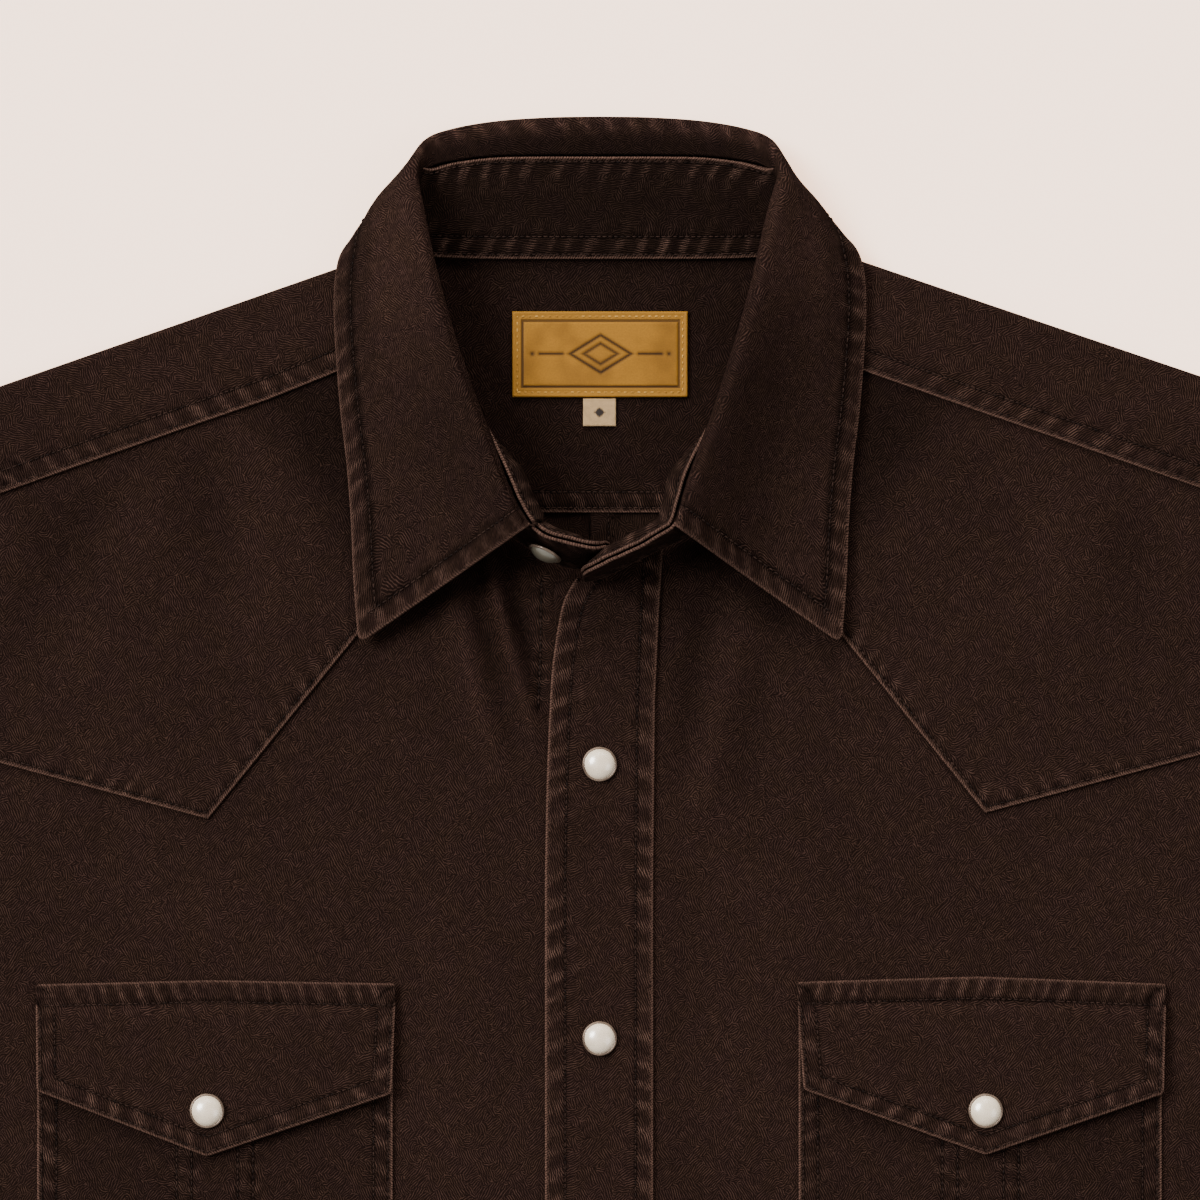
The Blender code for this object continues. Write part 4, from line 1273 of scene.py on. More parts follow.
@dataclass
class Back:
    """The back below the yoke and the back yoke, which folds over the shoulders to the front seam."""

    pleat: tuple[float, float] = (-3.4, 4.2)  # edges of the centre box pleat
    pleat_rise: float = 0.8
    neck_x: float = 72.8  # where the yoke's strip ends beside the neck

    def build(self) -> None:
        """Makes both pieces."""
        self.panel()
        self.yoke()

    def pleat_relief(self, xy: Array) -> Array:
        """The centre box pleat, standing up from the back and dying out near the hem."""
        x, y = xy.T
        low, high = self.pleat
        step = ease(low - 0.5, low + 0.5, x) * (1 - ease(high - 0.5, high + 0.5, x))
        line = hump(x - low, -0.7, 0.5) + hump(x - high, 0.7, 0.5)
        return self.pleat_rise * (step - 0.4 * line) * ease(-400, -150, y)

    def pleat_wear_and_painted_shade(self, xy: Array) -> Array:
        """Painted shade: a dark line in the gap along each edge of the pleat; beside it the folded edge is paler,
        as rubbed wear and painted light.
        """
        x = xy[:, 0]
        low, high = self.pleat
        # painted shade in the gap at each edge of the pleat
        dark = hump(x, low, 0.36) + hump(x, high, 0.36)
        # paler fold beside each gap: rubbed wear and painted light
        pale = hump(x - low, 0.9, 0.4) + hump(x - high, -0.9, 0.4)
        return 1 - 0.75 * dark + 0.35 * pale

    def panel(self) -> None:
        """The back, lying on the floor."""
        top = YOKE_SEAM_Y + 3.4
        left, right = body_edge(1), body_edge(-1)
        line = joined([(-arm_x(top), top), (arm_x(top), top)], armhole(1, top, 0), left, right[::-1],
                      armhole(-1, 0, top))
        hem = np.vstack([left[len(SIDE) * 3:], right[::-1][:-len(SIDE) * 3]])
        ys = np.arange(-330, top - 3, 3.0)
        low, high = self.pleat
        extra = [np.column_stack([np.full(len(ys), x), ys]) for edge, inward in ((low, 1), (high, -1))
                 for x in edge + inward * np.array([-1.0, -0.4, 0.0, 0.4, 0.9, 1.4])]
        seams = [Seam(hem, rows=(1.8, 8), band=8, pitch=9.5, seed=2),
                 Seam([(high - 1.4, top), (high - 1.4, -120)], free=True, band=2, lift=0.05),
                 Seam([(high, top), (high, -300)], rows=(), band=1.6, lift=0.03, rope=0.0)]
        Cloth("back", line, level(WALL / 2), seams, self.pleat_relief, INSIDE, coarse=10, fine=3.8, extra=extra,
              tone=self.pleat_wear_and_painted_shade, origin=(40, 11)).build()

    def yoke(self) -> None:
        """The back yoke with its strip beyond the shoulder fold."""
        low = YOKE_SEAM_Y + GAP / 2
        foot = [(-arm_x(low), low), (arm_x(low), low)]
        runs: list = [foot]
        seams = [Seam(foot, rows=(1.7, 6.9), band=6.9, pitch=7.3, seed=1)]
        extra = []
        bend = math.pi * FOLD_R
        for side in (1, -1):
            start, along, out = shoulder_fold(side)
            corner, neck_top = (start + along * ((x * side - start[0]) / along[0])
                                for x in (arm_x(191) - 0.6, self.neck_x))
            up = armhole(side, low, 186)
            seam = sided(FRONT_SEAM[side], side)[::-1]
            edges = ([corner, seam[0]], 4), (seam, 5), ([seam[-1], neck_top], 4)
            strip, lapped, neck = ([unfolded(side, p) for p in divide(line, pitch)] for line, pitch in edges)
            turn = [neck_top + out * (bend * k / 8) for k in range(8, -1, -1)]
            arm_turn = [corner + out * (bend * k / 8) for k in range(9)]
            part = [up, arm_turn, strip, lapped, neck, turn,
                    sided([(self.neck_x, 242.6), (69.5, 244.2), (62, 247.0), (40, BACK_NECK_Y)], side)]
            runs += part if side > 0 else [list(p)[::-1] for p in part[::-1]]
            seams += [Seam(lapped, rows=(1.7, 6.9), band=6.9, pitch=8.4, face=-1, lift=0.2, seed=3 + side),
                      Seam(up[::-1], rows=(1.7, 6.4), rope=0.4, pitch=8, seed=7 + side)]
            extra += [np.array([start + along * s + out * q for s in np.arange(-20, 190, 2.2)])
                      for q in np.arange(-3.0, bend + 3.5, 0.65)]

        def tone(xy: Array) -> Array:
            """Darker inside the neck: partly the wrong side that shows there, partly painted shade in the hollow of
            the neck.
            """
            # painted shade inside the neck: 0.66 of the colour near the centre, full colour past 76 mm out
            return 0.66 + 0.34 * ease(58, 76, np.abs(xy[:, 0]))

        def lap(xy: Array) -> Array:
            """Its sewn edge laps over the top of the back."""
            return (LAYER - 0.1) * (1 - ease(low + 4.2, low + 9.5, xy[:, 1])) * (np.abs(xy[:, 0]) < 240)

        Cloth("back_yoke", joined(*runs), yoke_surface, seams, lap, extra=extra, tone=tone, origin=(300, 90),
              rests_on=("front_yoke_left", "front_yoke_right"), held="folded").build()


@dataclass
class Front:
    """One front with its yoke, pocket and flap."""

    side: Side
    flap_rows: Points  # corners of the flap on the left half, from its inner top one
    pocket_x: tuple[float, float]  # edges of the pocket on the left half
    hem_y: float = -512.0
    pleat_x: tuple[float, float] = (7.6, 12.6)  # the pocket pleat's rows, either side of its middle

    def build(self) -> None:
        """Makes the four pieces."""
        self.panel()
        self.yoke()
        self.pocket()
        self.flap()

    def panel(self) -> None:
        """The front below its yoke; the left one laps over the right."""
        side = self.side.value
        lap = sided(YOKE_EDGE[side], side) + np.array([0, 8.0])
        lap[-1, 0] = arm_x(lap[-1, 1]) * side
        neck = neck_line(side)[7:]
        lap[0] = neck[0]
        ends = {1: [(-2.8, 140.0), (-6.5, 139.4), (-15.0, 137.5)], -1: [(0.0, 144.4), (6, 145.5), (12.0, 146)]}
        neck = np.vstack([neck, ends[side]])
        hem = body_edge(side)
        hem = hem[np.abs(hem[:, 0]) > 45]
        hem[:, 1] += 4 * ease(437, 470, -hem[:, 1])
        corner = (neck[-1, 0], self.hem_y)
        tail = [(x * side, self.hem_y + x / 30) for x in (40.0, 34.0, 28.0, 22.0, 15.0, 0.0)] + [corner]
        arm = armhole(side, lap[-1, 1], 0)
        line = joined(lap, arm, hem, tail, [corner, neck[-1]], neck[::-1])
        seams = [Seam(np.vstack([hem[hem[:, 1] < -440], tail]), rows=(1.8, 8), band=8, pitch=9.5, seed=5),
                 arm_seam(arm),
                 Seam(hem[hem[:, 1] > -436], rows=(2.2,), band=5, rope=0.2, pitch=10, seed=8)]
        if side < 0:
            seams.append(Seam([(-19.3, 139.0), (-19.6, 118.0), (-20.4, 96.0)], free=True, band=3, lift=0.16,
                              pitch=6.5, seed=2.2))
        Cloth(self.side.piece("front"), line, left_front if side > 0 else on_front(0), seams, front_relief,
              tone=fold_fade_and_painted_shade, origin=(0, 0) if side > 0 else (57.0, 21.0), rests_on=("back",)).build()

    def yoke(self) -> None:
        """The pointed front yoke."""
        side = self.side.value
        edge = sided(YOKE_EDGE[side], side)
        seam = sided(FRONT_SEAM[side], side) + np.array([0, 7.0])
        seam[-1, 0] = arm_x(seam[-1, 1]) * side
        arm = armhole(side, edge[-1, 1], seam[-1, 1])
        line = joined(edge, arm, seam[::-1][:-1], [(67.0 * side, seam[0, 1])], neck_line(side)[1:8])
        seams = [Seam(edge, rows=(1.9,), band=4.6, lift=0.2, seed=4 + side), arm_seam(arm)]
        Cloth(self.side.piece("front_yoke"), line, on_front(1), seams, front_relief,
              origin=(-130 * side, 300.0), tone=fold_fade_and_painted_shade, rests_on=(self.side.piece("front"),)).build()

    def pocket(self) -> None:
        """The patch pocket with its stitched box pleat."""
        side = self.side.value
        low, high = self.pocket_x
        mid = (low + high) / 2
        edge = sided([(low, 2), (low, -118), (mid, -141), (high, -118), (high, 2)], side)
        mid *= side

        def lift(xy: Array) -> Array:
            """The front's folds, a slack pouch and the box pleat."""
            x = xy[:, 0] - mid
            return self.pouch(xy) + 0.75 * (ease(-12.4, -11.2, x) * (1 - ease(11.2, 12.4, x)))

        inner, outer = self.pleat_x
        pleats = [Seam([(mid + x, 2.0), (mid + x, -130.0)], free=True, band=3.4, lift=0.12, pitch=7, seed=x)
                  for x in (-outer, -inner, inner, outer)]
        Cloth(self.side.piece("pocket"), joined(edge, [edge[-1], edge[0]]), on_front(1),
              [Seam(edge, rows=(1.6, 6.4), pitch=8, seed=1.5 + side), *pleats], lift, origin=(90, 33),
              rests_on=(self.side.piece("front"),), fine=1.9, tone=lambda xy: np.full(len(xy), 0.88)).build()

    def pouch(self, xy: Array) -> Array:
        """The front's folds with the pocket's slack pouch."""
        mid = sum(self.pocket_x) / 2 * self.side.value
        across = np.clip(1 - ((xy[:, 0] - mid) / 60) ** 2, 0, 1)
        return front_relief(xy) + 0.9 * across * np.clip(-(xy[:, 1] + 4) * (xy[:, 1] + 122) / 3600, 0, 1)

    def flap(self) -> None:
        """The pointed pocket flap."""
        side = self.side.value
        points = sided(self.flap_rows, side)
        inner, _, outer, low_outer, tip, low_inner = points
        edge = Ruler(np.array([low_outer + (0, 3.0), low_outer, tip, low_inner, low_inner + (0, 3.0)]))

        def lift(xy: Array) -> Array:
            """The front's folds, with the free corners standing off a little."""
            x, y = xy[:, 0] - tip[0], xy[:, 1]
            corners = ease(20, 58, np.abs(x)) * (1 - ease(-30, 0, y))
            over = 1 - ease(-6, 3, y)
            dent = np.exp(-((x / 9) ** 2 + ((y - FLAP_SNAP_Y) / 9) ** 2))
            near = edge.measure(xy, 14)[0]
            roll = 0.5 * hump(near, 1.4, 1.2) + 0.7 * (1 - ease(0, 12, near))
            return self.pouch(xy) + 0.4 * corners + over - 0.3 * dent * over - hump(y, -0.9, 1.2) + roll

        drop = np.array([0.0, 7.4])
        free = [outer - drop, low_outer, tip, low_inner, inner - drop]
        seams = [Seam(points[:3], rows=(7.2,), pitch=6, band=7.2, lift=0.4, rope=0.55, slant=0.35,
                      seed=2.5 + side),
                 Seam(free, rows=(1.5, 6.2), band=6.2, pitch=8.8, lift=0.3, seed=0.7 + side)]
        Cloth(self.side.piece("flap"), joined(rounded(points, 1.6)), on_front(2), seams, lift,
              origin=(-71, 55), rests_on=(self.side.piece("pocket"),), fine=1.6).build()


@dataclass
class Placket:
    """The front band that the snaps are set in."""

    row_in: float = 6.7
    hem_y: float = -512.6

    def build(self) -> None:
        """Makes the band."""
        left = curve([(-7.4, 139.9), (-11.2, 133.7), (-13.2, 127), (-15.5, 112.2), (-16.5, 99), (-17.6, 72),
                      (-18.2, 40)], 4)
        left = np.vstack([left, (-18.0, self.hem_y)])
        right = np.array([(17.6, self.hem_y), (17.6, 40), (18.2, 99), (19.6, 130), (20.8, 149.0)])
        neck = [(20.8, 149.0), (13.0, 145.6), (4.0, 141.2), (-2.8, 138.9), (-7.4, 138.6)]
        seams = [Seam(left, rows=(self.row_in,), band=self.row_in, pitch=8.3, lift=0.3, slant=0.5, seed=1),
                 Seam(right, rows=(self.row_in - 0.8,), band=self.row_in - 0.8, pitch=8.6, lift=0.26, rope=0.75,
                      slant=-0.4, seed=3.3)]
        Cloth("placket", joined(left, right, neck), level(FRONT_Z + 2 * LAYER + WALL / 2), seams, self.lift,
              origin=(140, -31), rests_on=("front_left",), fine=1.7, coarse=7).build()

    def lift(self, xy: Array) -> Array:
        """Pressed at its edges, dimpled at the snaps, faintly wavy between."""
        x, y = xy.T
        shape = 0.16 * np.sin(y / 8.2 + 0.6 * np.sin(x / 7)) * np.cos(x / 12)
        for k in range(FRONT_SNAPS):
            shape = shape - 0.35 * np.exp(-((x + 0.1) ** 2 + (y - SNAP_TOP_Y + SNAP_PITCH * k) ** 2) / 70)
        return shape - 0.25 * (1 - ease(0, 3.2, x + 18.4))


# ---- the collar


class Band:
    """A surface swept through sections, read by distance along it and distance across it."""

    def __init__(self, grid: Array, zones: Sequence[float], goals: Array, middle: int, front: float = 0.0) -> None:
        """Keeps the sections and their lengths.

        Args:
            grid: points by section and by place across it.
            zones: flat distances across that the goals belong to.
            goals: for each section, the arc length across at each zone.
            middle: the place across whose length is the band's flat length.
            front: width at both ends in which flat distance is true distance from the end.
        """
        self.grid, self.zones, self.goals, self.front = grid, np.array(zones), goals, front
        self.across = lengths(grid.transpose(1, 0, 2)).T  # section, place
        self.run = lengths(grid)  # section, place
        self.along = float(self.run[-1, middle])
        self.sine = [self.lean(grid[3] - grid[0], np.gradient(grid[0], axis=0)),
                     self.lean(grid[-4] - grid[-1], np.gradient(grid[-1], axis=0))]

    @staticmethod
    def lean(way: Array, edge: Array) -> Array:
        """Sine of the angle between the band's run and its end, at each place across."""
        cross = np.linalg.norm(np.cross(way, edge), axis=1)
        return np.clip(cross / (np.linalg.norm(way, axis=1) * np.linalg.norm(edge, axis=1) + 1e-9), 0.5, 1)

    def locate(self, xy: Array) -> tuple[Array, Array]:
        """Section and place numbers, with fractions, of flat points."""
        p = np.clip(xy[:, 0], 0.0, self.along)
        q = np.clip(xy[:, 1], self.zones[0], self.zones[-1])
        sections, places = self.across.shape
        a = p / self.along * (sections - 1)
        zone = np.clip(np.searchsorted(self.zones, q, side="right") - 1, 0, len(self.zones) - 2)
        share = (q - self.zones[zone]) / (self.zones[zone + 1] - self.zones[zone])
        pick = np.arange(len(q))
        for _ in range(4):
            a0 = np.clip(a.astype(int), 0, sections - 2)
            f = (a - a0)[:, None]
            goal, row = (table[a0] * (1 - f) + table[a0 + 1] * f for table in (self.goals, self.across))
            j = self.seek(row, goal[pick, zone] * (1 - share) + goal[pick, zone + 1] * share)
            j0 = np.clip(j.astype(int), 0, places - 2)
            g = (j - j0)[None]
            column = (self.run[:, j0] * (1 - g) + self.run[:, j0 + 1] * g).T
            whole = column[:, -1]
            goal_run = whole * p / self.along
            if self.front:
                k0, k1 = (self.front / np.interp(j, np.arange(places), sine) for sine in self.sine)
                middle = (whole - k0 - k1) / (self.along - 2 * self.front)
                past = whole - (self.along - p) * k1 / self.front
                goal_run = np.where(p < self.front, p * k0 / self.front,
                                    np.where(p > self.along - self.front, past, k0 + (p - self.front) * middle))
            a = self.seek(column, goal_run)
        return a, j

    @staticmethod
    def seek(rows: Array, values: Array) -> Array:
        """Place, with a fraction, of each value in its own rising row."""
        below = np.clip((rows <= values[:, None]).sum(axis=1) - 1, 0, rows.shape[1] - 2)
        pick = np.arange(len(rows))
        low, high = rows[pick, below], rows[pick, below + 1]
        return below + np.clip((values - low) / np.maximum(high - low, 1e-9), 0, 1)

    def lay(self, xy: Array) -> Array:
        """Points of the band in space for flat points."""
        return self.read(self.grid, *self.locate(xy))

    @staticmethod
    def read(table: Array, a: Array, j: Array) -> Array:
        """Values of a grid between its sections and places."""
        a0 = np.clip(a.astype(int), 0, table.shape[0] - 2)
        j0 = np.clip(j.astype(int), 0, table.shape[1] - 2)
        f, g = a - a0, j - j0
        if table.ndim == 3:
            f, g = f[:, None], g[:, None]
        return ((table[a0, j0] * (1 - f) + table[a0 + 1, j0] * f) * (1 - g)
                + (table[a0, j0 + 1] * (1 - f) + table[a0 + 1, j0 + 1] * f) * g)

    def weave(self, xy: Array) -> Array:
        """True distances along and across, which the weave follows."""
        a, j = self.locate(xy)
        middle = self.run[:, self.run.shape[1] // 3]
        return np.column_stack([self.read(self.across, a, j), np.interp(a, np.arange(len(middle)), middle)])


@dataclass
class Collar:
    """The stand in two plies and the leaf that rolls over it."""

    leaf_wall: float = 1.6
    ply: float = 1.1
    row_in: float = 6.8
    leaf_depth: tuple[float, ...] = (0.0, 12.0, 56.0, 66.0, 78.0)  # edge, true zone, past the roll, behind it, seam
    corner: float = 3.3  # how much the leaf's corners are rounded
    stand_height: float = 33.0
    stand_foot: float = 6.0  # depth of the stand's seam zone

    def build(self) -> None:
        """Makes the stand and the leaf."""
        self.stand(inner=True)
        self.stand(inner=False)
        self.leaf()

    @staticmethod
    def section(k: int, side: int) -> tuple[Array, Array, Array, Array, Array]:
        """One row of the collar table on one side, as the collar lies askew.

        Args:
            k: the row.
            side: the side, 1 or -1.

        Returns:
            The row, its neck seam, leaf seam and top of the roll, and the way out to the leaf's edge in plan.
        """
        row = np.array(COLLAR[k])
        if side < 0:
            row[[3, 6]] += FOLD_OUT[k]
        return row, row[:3], row[3:6], row[6:9], row[12:14] - row[6:8]

    def leaf_sections(self, side: int) -> Array:
        """Control points of the leaf by row on one side, from its edge over the roll to its seam."""
        rows = []
        for k, inset in enumerate(LEAF_IN):
            row, _, s, r, plan = self.section(k, side)
            way = unit(plan)
            cross = left_of(way)
            flat = float(ease(4.0, 5.2, k))  # 1 where the roll opens out flat
            start = s + (r - s) / np.linalg.norm(r - s) * 0.5
            tucked = np.array([*(r[:2] - way * 0.1), r[2] - 1.9]) if k > 5 else s
            start = start * (1 - flat) + tucked * flat
            crest = r + np.array([*(way * 1.3), 0.1]) * flat
            near = np.array([*(r[:2] + way * (3.0 + 1.6 * flat) + cross * 0.55 * row[11]), row[9]])
            mid = np.array([*(r[:2] + plan * 0.5 + cross * row[11]), row[10]])
            if side > 0:
                mid[0] -= inset
                near[0] -= inset * 0.5
            behind = start * 0.5 + crest * 0.5
            behind[2] = max(behind[2], 0.45 * start[2] + 0.55 * crest[2])
            rows.append([row[12:15], mid, near, crest, behind, start])
        made = np.array(rows)
        made[..., 0] *= side
        return made

    def leaf(self) -> None:
        """The leaf: edge seam all round, rolled over the stand."""
        left, right = (spline(self.leaf_sections(side), 12) for side in (1, -1))
        grid = np.stack([spline(section, 14) for section in np.concatenate([left[::-1], right[1:]])])
        across = lengths(grid.transpose(1, 0, 2)).T
        lean = Band.lean(np.gradient(grid[:, 0], axis=0), grid[:, 3] - grid[:, 0])
        goals = np.stack([0 * lean, self.leaf_depth[1] / lean, across[:, 28] - 0.5, across[:, 42] + 2.5,
                          across[:, -1]], axis=1)
        band = Band(grid, self.leaf_depth, np.maximum.accumulate(goals, axis=1), 20, front=12.0)
        along, depth = band.along, self.leaf_depth[-1]
        tip = np.array([(math.sin(t), math.cos(t)) for t in np.linspace(0, math.pi / 2, 5)])
        tip = self.corner - self.corner * tip
        edge = np.vstack([(0.0, depth), tip[::-1], tip * (-1, 1) + (along, 0), (along, depth)])
        xs = np.arange(1.5, along - 1.5, 1.9)

        def lift(xy: Array) -> Array:
            """A leaf that is not quite flat."""
            x, y = xy.T
            return 0.35 * np.sin(x / 13 + 0.6) * np.sin(y / 19) * ease(0, 14, y) * (1 - ease(48, 56, y))

        def tone(xy: Array) -> Array:
            """Painted shade where the leaf turns down inside the neck, painted light on its shoulders, and paler
            slanted streaks along the top of the roll.
            """
            x, y = xy.T
            # painted light on the leaf's shoulders
            pale = 0.44 * hump(x, 0.73 * along, 34) + 0.4 * hump(x, 0.27 * along, 30)
            ridge = ease(0.1, 1.0, np.sin(2 * math.pi * (x + 0.4 * y) / 8.6 + 1.6 * wander(x / 8.6, 3.0)))
            ridge = ridge * hump(y, 64.5, 3.4) * (np.abs(x - along / 2) < 68)
            # painted shade past the roll, where the leaf turns down inside the neck
            return 1 + pale * ease(10, 24, y) + 1.1 * ridge - 0.12 * ease(54, 58, y) - 0.46 * ease(65, 73, y)

        seam = Seam(edge, rows=(self.row_in,), band=self.row_in, pitch=7.3, lift=0.3, rope=0.95, slant=0.25, seed=2)
        Cloth("collar_leaf", joined(edge, edge[:1]), band.lay, [seam], lift, COLLAR_FACE, tone=tone,
              wall=self.leaf_wall, fine=1.9, weave=band.weave, origin=(500, 60),
              extra=[np.column_stack([xs, np.full(len(xs), q)]) for q in np.arange(54.0, 72.0, 0.75)],
              rests_on=("collar_stand",), held="folded", whole=True).build()

    def stand_sections(self, side: int, inner: bool) -> Array:
        """Control points of one half of the stand, from its seam to its top edge."""
        rows = []
        for k in range(len(COLLAR)):
            _, b, s, r, plan = self.section(k, side)
            way = unit(plan)
            tucked = float(ease(4.0, 5.2, k))
            share = float(ease(10.3, 12.2, k)) if inner else float(ease(13.0, 14.0, k))
            top = s * (1 - tucked) + np.array([*(r[:2] + way * 0.9), r[2] - 3.0]) * tucked
            top = top * (1 - share) + np.array([*(r[:2] - way * 1.15), r[2] - 0.5]) * share
            swell = top - (top - b) * 0.2
            if inner:
                swell[:2] += share * ((top - b)[:2] * 0.2 - way * 3.9)
            rows.append([b + (top - b) * 0.006, b + (top - b) * 0.4, swell, top])
        ends = np.array(STAND_END[side])
        ways = np.gradient(np.vstack([rows[-1][3][:2], ends[:, 3:5]]), axis=0)[1:]
        for end, way in zip(ends, ways):
            b, s = end[:3], end[3:6]
            into = left_of(way) / np.linalg.norm(way)
            into *= math.copysign(end[6] if inner else 0.0, into[1])
            rows.append([b + (s - b) * 0.006, b + (s - b) * 0.4, s + np.array([*into, 0]) - (s - b) * 0.2, s])
        made = np.array(rows)
        made[..., 0] *= side
        return made

    def stand(self, inner: bool) -> None:
        """One ply of the stand, the one on the neck side or the outer one."""
        left, right = self.stand_sections(1, inner), self.stand_sections(-1, inner)
        grid = np.stack([spline(section, 10) for section in spline(np.concatenate([left[::-1], right[1:]]), 10)])
        across = lengths(grid.transpose(1, 0, 2)).T[:, -1]
        height, foot, cut = self.stand_height, self.stand_foot, 3
        low = np.minimum(foot, 0.3 * across)
        goals = np.stack([0 * across, low, np.maximum(across - 4.0, low + 0.1), across], axis=1)
        band = Band(grid, (0.0, foot, height - 4.0, height), goals, 15)
        along = band.along
        top = [(along, height - cut), (along - cut, height), (cut, height), (0, height - cut)]
        face = -1 if inner else 1

        def tone(xy: Array) -> Array:
            """The neck side is darker at the back than where its ends turn to the light."""
            return 1 - (0.26 if inner else 0.0) * (1 - ease(0.45, 0.75, np.abs(2 * xy[:, 0] / along - 1)))

        foot_line = [(0, 0.0), (along, 0.0)]
        seams = [Seam(foot_line, rows=(1.6, 7.4), band=7.4, pitch=7.2, lift=0.26, face=face, seed=1),
                 Seam(top, rows=(1.7,) if inner else (1.6,), band=6, face=face, seed=2.4)]
        Cloth("collar_stand", joined([(0, 0), (along, 0), *top]), band.lay, seams, None,
              INSIDE if inner else COLLAR_FACE, name="stand_inner" if inner else "stand_outer", wall=self.ply,
              fine=1.7, weave=band.weave, shift=0.64 * face, face=face, tone=tone,
              origin=(700, 20 if inner else 90.0), rests_on=("back_yoke",), whole=True).build()


# ---- sleeves


@dataclass
class Tube:
    """A flattened tube of cloth beside the body, open at both ends: a sleeve or a cuff."""

    kind: str  # "sleeve" or "cuff"
    side: Side
    table: list[tuple[float, ...]]  # outer edge x, y, underarm edge x, y along it
    rise: float  # its height
    wall: float
    count: int  # points across each face
    rests_on: str
    rows: Points  # rows of stitches: place, from the far end if negative, and pucker
    worn_ends: bool = False
    pucker_pitch: float = 8.2
    slant: float = 1.12  # length of the flat piece, whose ends slant, over the tube's own

    @property
    def is_sleeve(self) -> bool:
        """Whether it has a head that follows the armhole."""
        return self.kind == "sleeve"

    def head(self, share: Array) -> Array:
        """How far the sleeve head moves in plan to follow the armhole, by share of the way up it."""
        y = share * ARMHOLE[0][1]
        low, high = np.array(SLEEVE[0][2:]), np.array(SLEEVE[0][:2])
        straight = low + (high - low) * share[:, None]
        x = np.array([arm_x(v) for v in y]) + ARM_SEAM
        return np.column_stack([x - straight[:, 0], y - straight[:, 1]])

    def creases(self, station: Array, u: Array) -> Array:
        """Soft creases across a sleeve, strongest at the elbow and the head; a cuff is nearly smooth."""
        a, room = station[:, None], 1 - np.abs(u) ** 3
        if not self.is_sleeve:
            return 0.15 * np.sin(a / 9) * room
        wave = np.sin(a / 17 + 2.2 * u + 0.8 * np.sin(a / 41))
        elbow = hump(a, 330, 110) + 0.8 * hump(a, 20, 70) + 0.25
        return 0.9 * wave * elbow * room

    def build(self) -> None:
        """Makes the tube with its seam rows."""
        side, name = self.side.value, self.side.piece(self.kind)
        stations = spline(self.table, 12)
        radius = self.rise / 2
        u = -np.cos(np.linspace(0, math.pi, self.count)) * 0.35 - (1 - 2 * np.linspace(0, 1, self.count)) * 0.65
        outer, under = stations[:, :2], stations[:, 2:]
        centre, half = (outer + under) / 2, (outer - under) / 2
        plan = centre[:, None] + half[:, None] * u[None, :, None]
        if self.is_sleeve:
            fade = np.clip(1 - np.arange(len(stations)) / 60, 0, 1)[:, None, None]
            plan = plan + self.head((1 + u) / 2)[None] * fade
        width = np.linalg.norm(half, axis=1)
        margin = (1 - np.abs(u))[None] * width[:, None]
        bulge = radius * np.sqrt(1 - (1 - np.clip(margin / (radius * 2.4), 0, 1)) ** 2)
        at = lengths(centre)
        ends = ease(0, 14, at)[:, None] * ease(0, 14, at[-1] - at)[:, None]
        top = radius + bulge + np.maximum(self.creases(at, u[None]) * ends, -0.9) * (bulge / radius)
        plan[..., 0] *= side
        upper, lower = (np.concatenate([plan, z[..., None]], axis=2) for z in (top, radius - bulge))
        ring = np.concatenate([upper, lower[:, ::-1][:, 1:-1]], axis=1)
        inner = ring.copy()
        inner[..., 2] = np.where(ring[..., 2] > radius, np.maximum(ring[..., 2] - self.wall, radius + 0.25),
                                 np.minimum(ring[..., 2] + self.wall, radius - 0.25))
        middle = plan[:, :1] * 0.5 + plan[:, -1:] * 0.5
        inner[..., :2] = middle + (inner[..., :2] - middle) * (1 - self.wall / np.maximum(width, 1))[:, None, None]
        girth = lengths(np.concatenate([ring, ring[:, :1]], axis=1).transpose(1, 0, 2)).T
        masks = self.masks(at, girth[:, :-1])
        ring_up = ring.copy()
        ring_up[..., 2] += np.where(ring[..., 2] > radius, masks.pop("height"), 0.0)
        points = np.concatenate([ring_up.reshape(-1, 3), inner.reshape(-1, 3)])
        faces = self.faces(*ring.shape[:2])
        flat = 0 * girth[:, :-1]
        place = np.stack([girth[:, :-1] + 900, at[:, None] + flat, flat], -1).reshape(-1, 3)
        kept = {"place": np.vstack([place, place + UNDERSIDE])}
        kept |= {key: np.tile(values.ravel(), 2) for key, values in masks.items()}
        item = mesh_of(name + "_cloth", points, faces if side > 0 else faces[:, ::-1], FACE, kept=kept)
        install(item, name)
        self.side.piece(self.rests_on)
        self.thread(name, upper, at)

    @staticmethod
    def faces(rows: int, across: int) -> Array:
        """Triangles of the tube: its outer face, its inner face, and the two open ends.

        Args:
            rows: rings along it.
            across: points round each ring.

        Returns:
            Rows of three point numbers.
        """
        i, j = np.meshgrid(np.arange(rows - 1), np.arange(across), indexing="ij")
        a, d = i * across + j, i * across + (j + 1) % across
        b, c = a + across, d + across
        off = rows * across
        faces = [np.stack(face, -1).reshape(-1, 3) for face in ((a, d, c), (a, c, b))]
        faces += [face[:, ::-1] + off for face in faces]
        k = np.arange(across)
        for first, way in ((0, 1), (off - across, -1)):
            a, b = first + k, first + (k + 1) % across
            faces += [np.column_stack(face)[:, ::way] for face in ((a, b + off, b), (a, a + off, b + off))]
        return np.concatenate(faces)

    def spots(self, at: Array) -> list[tuple[float, float]]:
        """Rows of stitches round the tube: place along it and how strongly it puckers."""
        return [(row if row > 0 else at[-1] + row, strength) for row, strength in self.rows]

